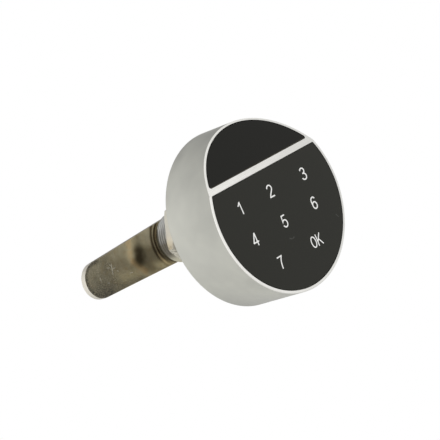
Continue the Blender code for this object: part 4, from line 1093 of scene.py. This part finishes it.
chip = merge(block_mesh((-3.5 * MM, -17.25 * MM, -2.5 * MM), (3.5 * MM, -16.3 * MM, 4.5 * MM), 0.12 * MM))
chip = raw("controller_body", chip)
carve(chip, [turned_mesh([(0.0, -16.0 * MM), (0.4 * MM, -16.0 * MM), (0.4 * MM, -16.38 * MM), (0.0, -16.38 * MM)], 24, (-2.7 * MM, 3.7 * MM))])
piece("controller_body", chip, chip_black, "controller_chip")
legs = []
for side in range(4):
    for k in range(10):
        t = (k - 4.5) * 0.6 * MM
        leg = merge(block_mesh((3.45 * MM, -16.95 * MM, t - 0.13 * MM), (3.95 * MM, -16.8 * MM, t + 0.13 * MM), 0.03 * MM, 2))
        low = block_mesh((3.9 * MM, -17.28 * MM, t - 0.13 * MM), (4.45 * MM, -17.13 * MM, t + 0.13 * MM), 0.03 * MM, 2)
        riser = block_mesh((3.82 * MM, -17.25 * MM, t - 0.13 * MM), (3.96 * MM, -16.83 * MM, t + 0.13 * MM), 0.03 * MM, 2)
        for bm in (leg, low, riser):
            bm.transform(Matrix.Translation((0, 0, 1.0 * MM)) @ Matrix.Rotation(side * PI / 2, 4, "Y"))
            legs.append(bm)
piece("controller_leads", merge(*legs), tin, "controller_chip", also=None)

for node, name, lo, hi, pins in (("ribbon_connector", "ribbon_socket", (-5.2, -17.3, -16.9), (5.2, -15.6, -13.6), 16),
                                 ("lead_connector", "lead_socket", (-3.0, -17.3, 7.2), (3.0, -15.9, 10.1), 8)):
    body = raw(name, block_mesh([c * MM for c in lo], [c * MM for c in hi], 0.15 * MM))
    z_in = lo[2] if node == "ribbon_connector" else hi[2]
    carve(body, [block_mesh(((lo[0] + 0.6) * MM, (lo[1] + 0.35) * MM, (z_in - 1.0) * MM),
                            ((hi[0] - 0.6) * MM, (hi[1] - 0.35) * MM, (z_in + 1.0) * MM))])
    piece(name, body, white_plastic, node)
    z_out = hi[2] if node == "ribbon_connector" else lo[2]
    away = 1 if node == "ribbon_connector" else -1
    span = hi[0] - lo[0] - 1.6
    pin_meshes = [block_mesh(((lo[0] + 0.8 + span * k / (pins - 1) - 0.12) * MM, -17.28 * MM, (z_out + min(0, away) * 0.9 - 0.05) * MM),
                             ((lo[0] + 0.8 + span * k / (pins - 1) + 0.12) * MM, -17.1 * MM, (z_out + max(0, away) * 0.9 + 0.05) * MM), 0.03 * MM, 2)
                  for k in range(pins)]
    piece(name + "_pins", merge(*pin_meshes), tin, node, also=None)

piece("buzzer_case", turned_mesh(fillet(mm([(0, -15.5), (0.8, -15.5, 0.15), (0.8, -14.95, 0.15), (1.5, -14.95, 0.1), (1.5, -15.3, 0.1),
                                            (1.9, -15.3, 0.1), (1.9, -14.95, 0.1), (4.5, -14.95, 0.35), (4.5, -16.1, 0.05), (4.4, -16.2, 0.05),
                                            (4.5, -16.3, 0.05), (4.5, -17.3, 0.1), (0, -17.3)]), closed=False, n=4), 96, (-13 * MM, 0.0)),
      chip_black, "buzzer")
cap_can = raw("capacitor_can", turned_mesh(fillet(mm([(0, -15.0), (2.0, -15.0, 0.3), (2.0, -16.5, 0.15), (1.8, -16.65, 0.15), (2.0, -16.8, 0.15),
                                                      (2.0, -17.3, 0.1), (0, -17.3)]), closed=False, n=4), 64, (9.5 * MM, -9 * MM)))
carve(cap_can, [block_mesh(((9.5 - 1.5) * MM, -15.06 * MM, -9.06 * MM), ((9.5 + 1.5) * MM, -14.9 * MM, -8.94 * MM)),
                block_mesh((9.44 * MM, -15.06 * MM, -10.5 * MM), (9.56 * MM, -14.9 * MM, -7.5 * MM))])
piece("capacitor_can", cap_can, aluminium, "capacitor")

for s, side in ((1, "upper"), (-1, "lower")):
    z = s * 12.6 * MM
    cell = raw("cell_" + side, turned_mesh(fillet(mm(
        [(0, -8.4), (12.25, -8.4, 0.55), (12.25, -12.6, 0.35), (11.45, -12.85, 0.2), (11.2, -12.75, 0.1), (11.05, -13.35, 0.3),
         (0, -13.35)]), closed=False, n=5), 128, (0.0, z)))
    carve(cell, [block_mesh((-1.6 * MM, -8.46 * MM, z + 5.7 * MM), (1.6 * MM, -8.3 * MM, z + 6.3 * MM)),
                 block_mesh((-0.3 * MM, -8.46 * MM, z + 4.4 * MM), (0.3 * MM, -8.3 * MM, z + 7.6 * MM))])
    piece("cell_" + side, cell, cell_steel, "coin_cell_" + side)
    dress("cell_contact_" + side, brass)
    dress("cell_strap_" + side, brass)

motor = raw("motor_can", turned_mesh(fillet(mm([(0, -11.0), (1.5, -11.0, 0.1), (1.5, -11.25, 0.1), (3.5, -11.25, 0.3), (3.5, -16.2, 0.05),
                                                (3.35, -16.3, 0.05), (3.35, -16.5, 0.05), (3.5, -16.6, 0.05), (3.5, -17.25, 0.3), (0, -17.25)]),
                                            closed=False, n=4), 96, (20.5 * MM, 0.0)))
piece("motor_can", motor, cell_steel, "lock_motor")
lead = thread_mesh(1.0 * MM, 0.8 * MM, 0.3 * MM, -10.2 * MM, -4.0 * MM, mm([(0.5, -4.0), (0, -4.0)]),
                   mm([(0, -10.8), (1.5, -10.8), (1.5, -10.5), (0.7, -10.5)]), steps=48, rows=10, lead=0.25 * MM,
                   at=(20.5 * MM, 0.0))
bmesh.ops.recalc_face_normals(lead, faces=lead.faces)
piece("lead_screw", lead, brass, "drive_screw")
slider = raw("slide_block", slab_mesh(arc(13.5 * MM, 0, 3 * MM, PI / 2, 1.5 * PI, 32) + arc(20.7 * MM, 0, 3 * MM, -PI / 2, PI / 2, 32),
                                      -10.3 * MM, -8.4 * MM, 0.15 * MM, 3))
carve(slider, [rod_mesh(1.3 * MM, -12 * MM, -7 * MM, 20.5 * MM, 0.0, 48), rod_mesh(1.425 * MM, -12 * MM, -7 * MM, PIN_RING_R, 0.0, 48)])
piece("slide_block", slider, white_plastic, "bolt_slider")
piece("lock_pin", turned_mesh(fillet(mm([(0, -3.6), (1.5, -3.6, 0.45), (1.5, -8.1, 0.08), (1.125, -8.1), (1.125, -10.3, 0.1), (0, -10.3)]),
                                     closed=False), 64, (PIN_RING_R, 0.0)), screw_metal, "locking_pin")

dress("touch_board", board_front)
dress("indicator_board", board_finish("circuit_board_indicator", (math.radians(70), 0, 0)))
dress("main_board", board_back)
dress("touch_ribbon", film)
dress("indicator_ribbon", film)
dress("battery_carrier", dark_plastic)
dress("status_led_red", led_finish("led_red", (0.75, 0.10, 0.07)))
dress("status_led_green", led_finish("led_green", (0.14, 0.66, 0.17)))

# ================================================================ light and ground
world = bpy.data.worlds.new("white_studio")
scene.world = world
world.use_nodes = True
wt = world.node_tree
wt.nodes.clear()
out = wt.nodes.new("ShaderNodeOutputWorld")
seen = wt.nodes.new("ShaderNodeBackground")
seen.inputs["Color"].default_value = (1, 1, 1, 1)
seen.inputs["Strength"].default_value = 1.0
glow = wt.nodes.new("ShaderNodeBackground")
glow.inputs["Strength"].default_value = 1.0
coord = wt.nodes.new("ShaderNodeTexCoord")
BASE_GLOW = 0.62
# (direction, width, strength, tint): broad soft patches of light and shade round the object
GLOWS = (((0.69, -0.68, 0.15), 2.0, 0.30, (1.0, 1.0, 0.99)),
         ((-0.80, 0.55, -0.20), 2.5, 0.24, (1.0, 1.0, 0.97)),
         ((-0.42, 0.72, 0.55), 4.0, 0.14, (1.0, 1.0, 0.99)),
         ((0.60, 0.72, 0.35), 4.0, -0.24, (1.0, 1.0, 1.0)),
         ((-0.69, -0.70, 0.10), 2.0, 0.42, (1.0, 1.0, 1.0)))
total = None
for way, width, gain, tint in GLOWS:
    dot = wt.nodes.new("ShaderNodeVectorMath")
    dot.operation = "DOT_PRODUCT"
    wt.links.new(coord.outputs["Generated"], dot.inputs[0])
    dot.inputs[1].default_value = Vector(way).normalized()
    near = wt.nodes.new("ShaderNodeMath")
    near.operation = "MAXIMUM"
    wt.links.new(dot.outputs["Value"], near.inputs[0])
    near.inputs[1].default_value = 0.0
    lobe = wt.nodes.new("ShaderNodeMath")
    lobe.operation = "POWER"
    wt.links.new(near.outputs[0], lobe.inputs[0])
    lobe.inputs[1].default_value = width
    part = wt.nodes.new("ShaderNodeVectorMath")
    part.operation = "SCALE"
    part.inputs[0].default_value = [gain * c for c in tint]
    wt.links.new(lobe.outputs[0], part.inputs["Scale"])
    plus = wt.nodes.new("ShaderNodeVectorMath")
    plus.operation = "ADD"
    wt.links.new(part.outputs[0], plus.inputs[0])
    if total is None:
        plus.inputs[1].default_value = (BASE_GLOW, BASE_GLOW, BASE_GLOW)
    else:
        wt.links.new(total, plus.inputs[1])
    total = plus.outputs[0]
wt.links.new(total, glow.inputs["Color"])
path = wt.nodes.new("ShaderNodeLightPath")
both = wt.nodes.new("ShaderNodeMixShader")
wt.links.new(path.outputs["Is Camera Ray"], both.inputs[0])
wt.links.new(glow.outputs[0], both.inputs[1])
wt.links.new(seen.outputs[0], both.inputs[2])
wt.links.new(both.outputs[0], out.inputs["Surface"])


def softbox(name, at, aim, size, power, tint=(1, 1, 1)):
    data = bpy.data.lights.new(name, "AREA")
    data.shape = "RECTANGLE"
    data.size, data.size_y = size
    data.energy = power
    data.color = tint
    lamp = bpy.data.objects.new(name, data)
    lamp.location = at
    lamp.rotation_euler = (Vector(aim) - Vector(at)).to_track_quat("-Z", "Y").to_euler()
    lamp.visible_camera = False
    scene.collection.objects.link(lamp)
    return lamp


softbox("key", (-0.25, -0.15, 0.70), (0, 0, 0), (0.5, 0.5), 1.2)

table = raw("studio_table", turned_mesh(fillet(mm([(0, -200), (260, -200, 3), (260, -206, 3), (0, -206)]), closed=False, n=4), 160))
table.data.transform(Matrix.Rotation(math.radians(90), 4, "X"))
pale = plain_finish("pale_table", (0.86, 0.86, 0.85), 0.6, 0.0, vary=0.01, blotch=60 * MM, grain=0.6 * MM, depth=0.01 * MM)
table.data.materials.append(pale.mat)
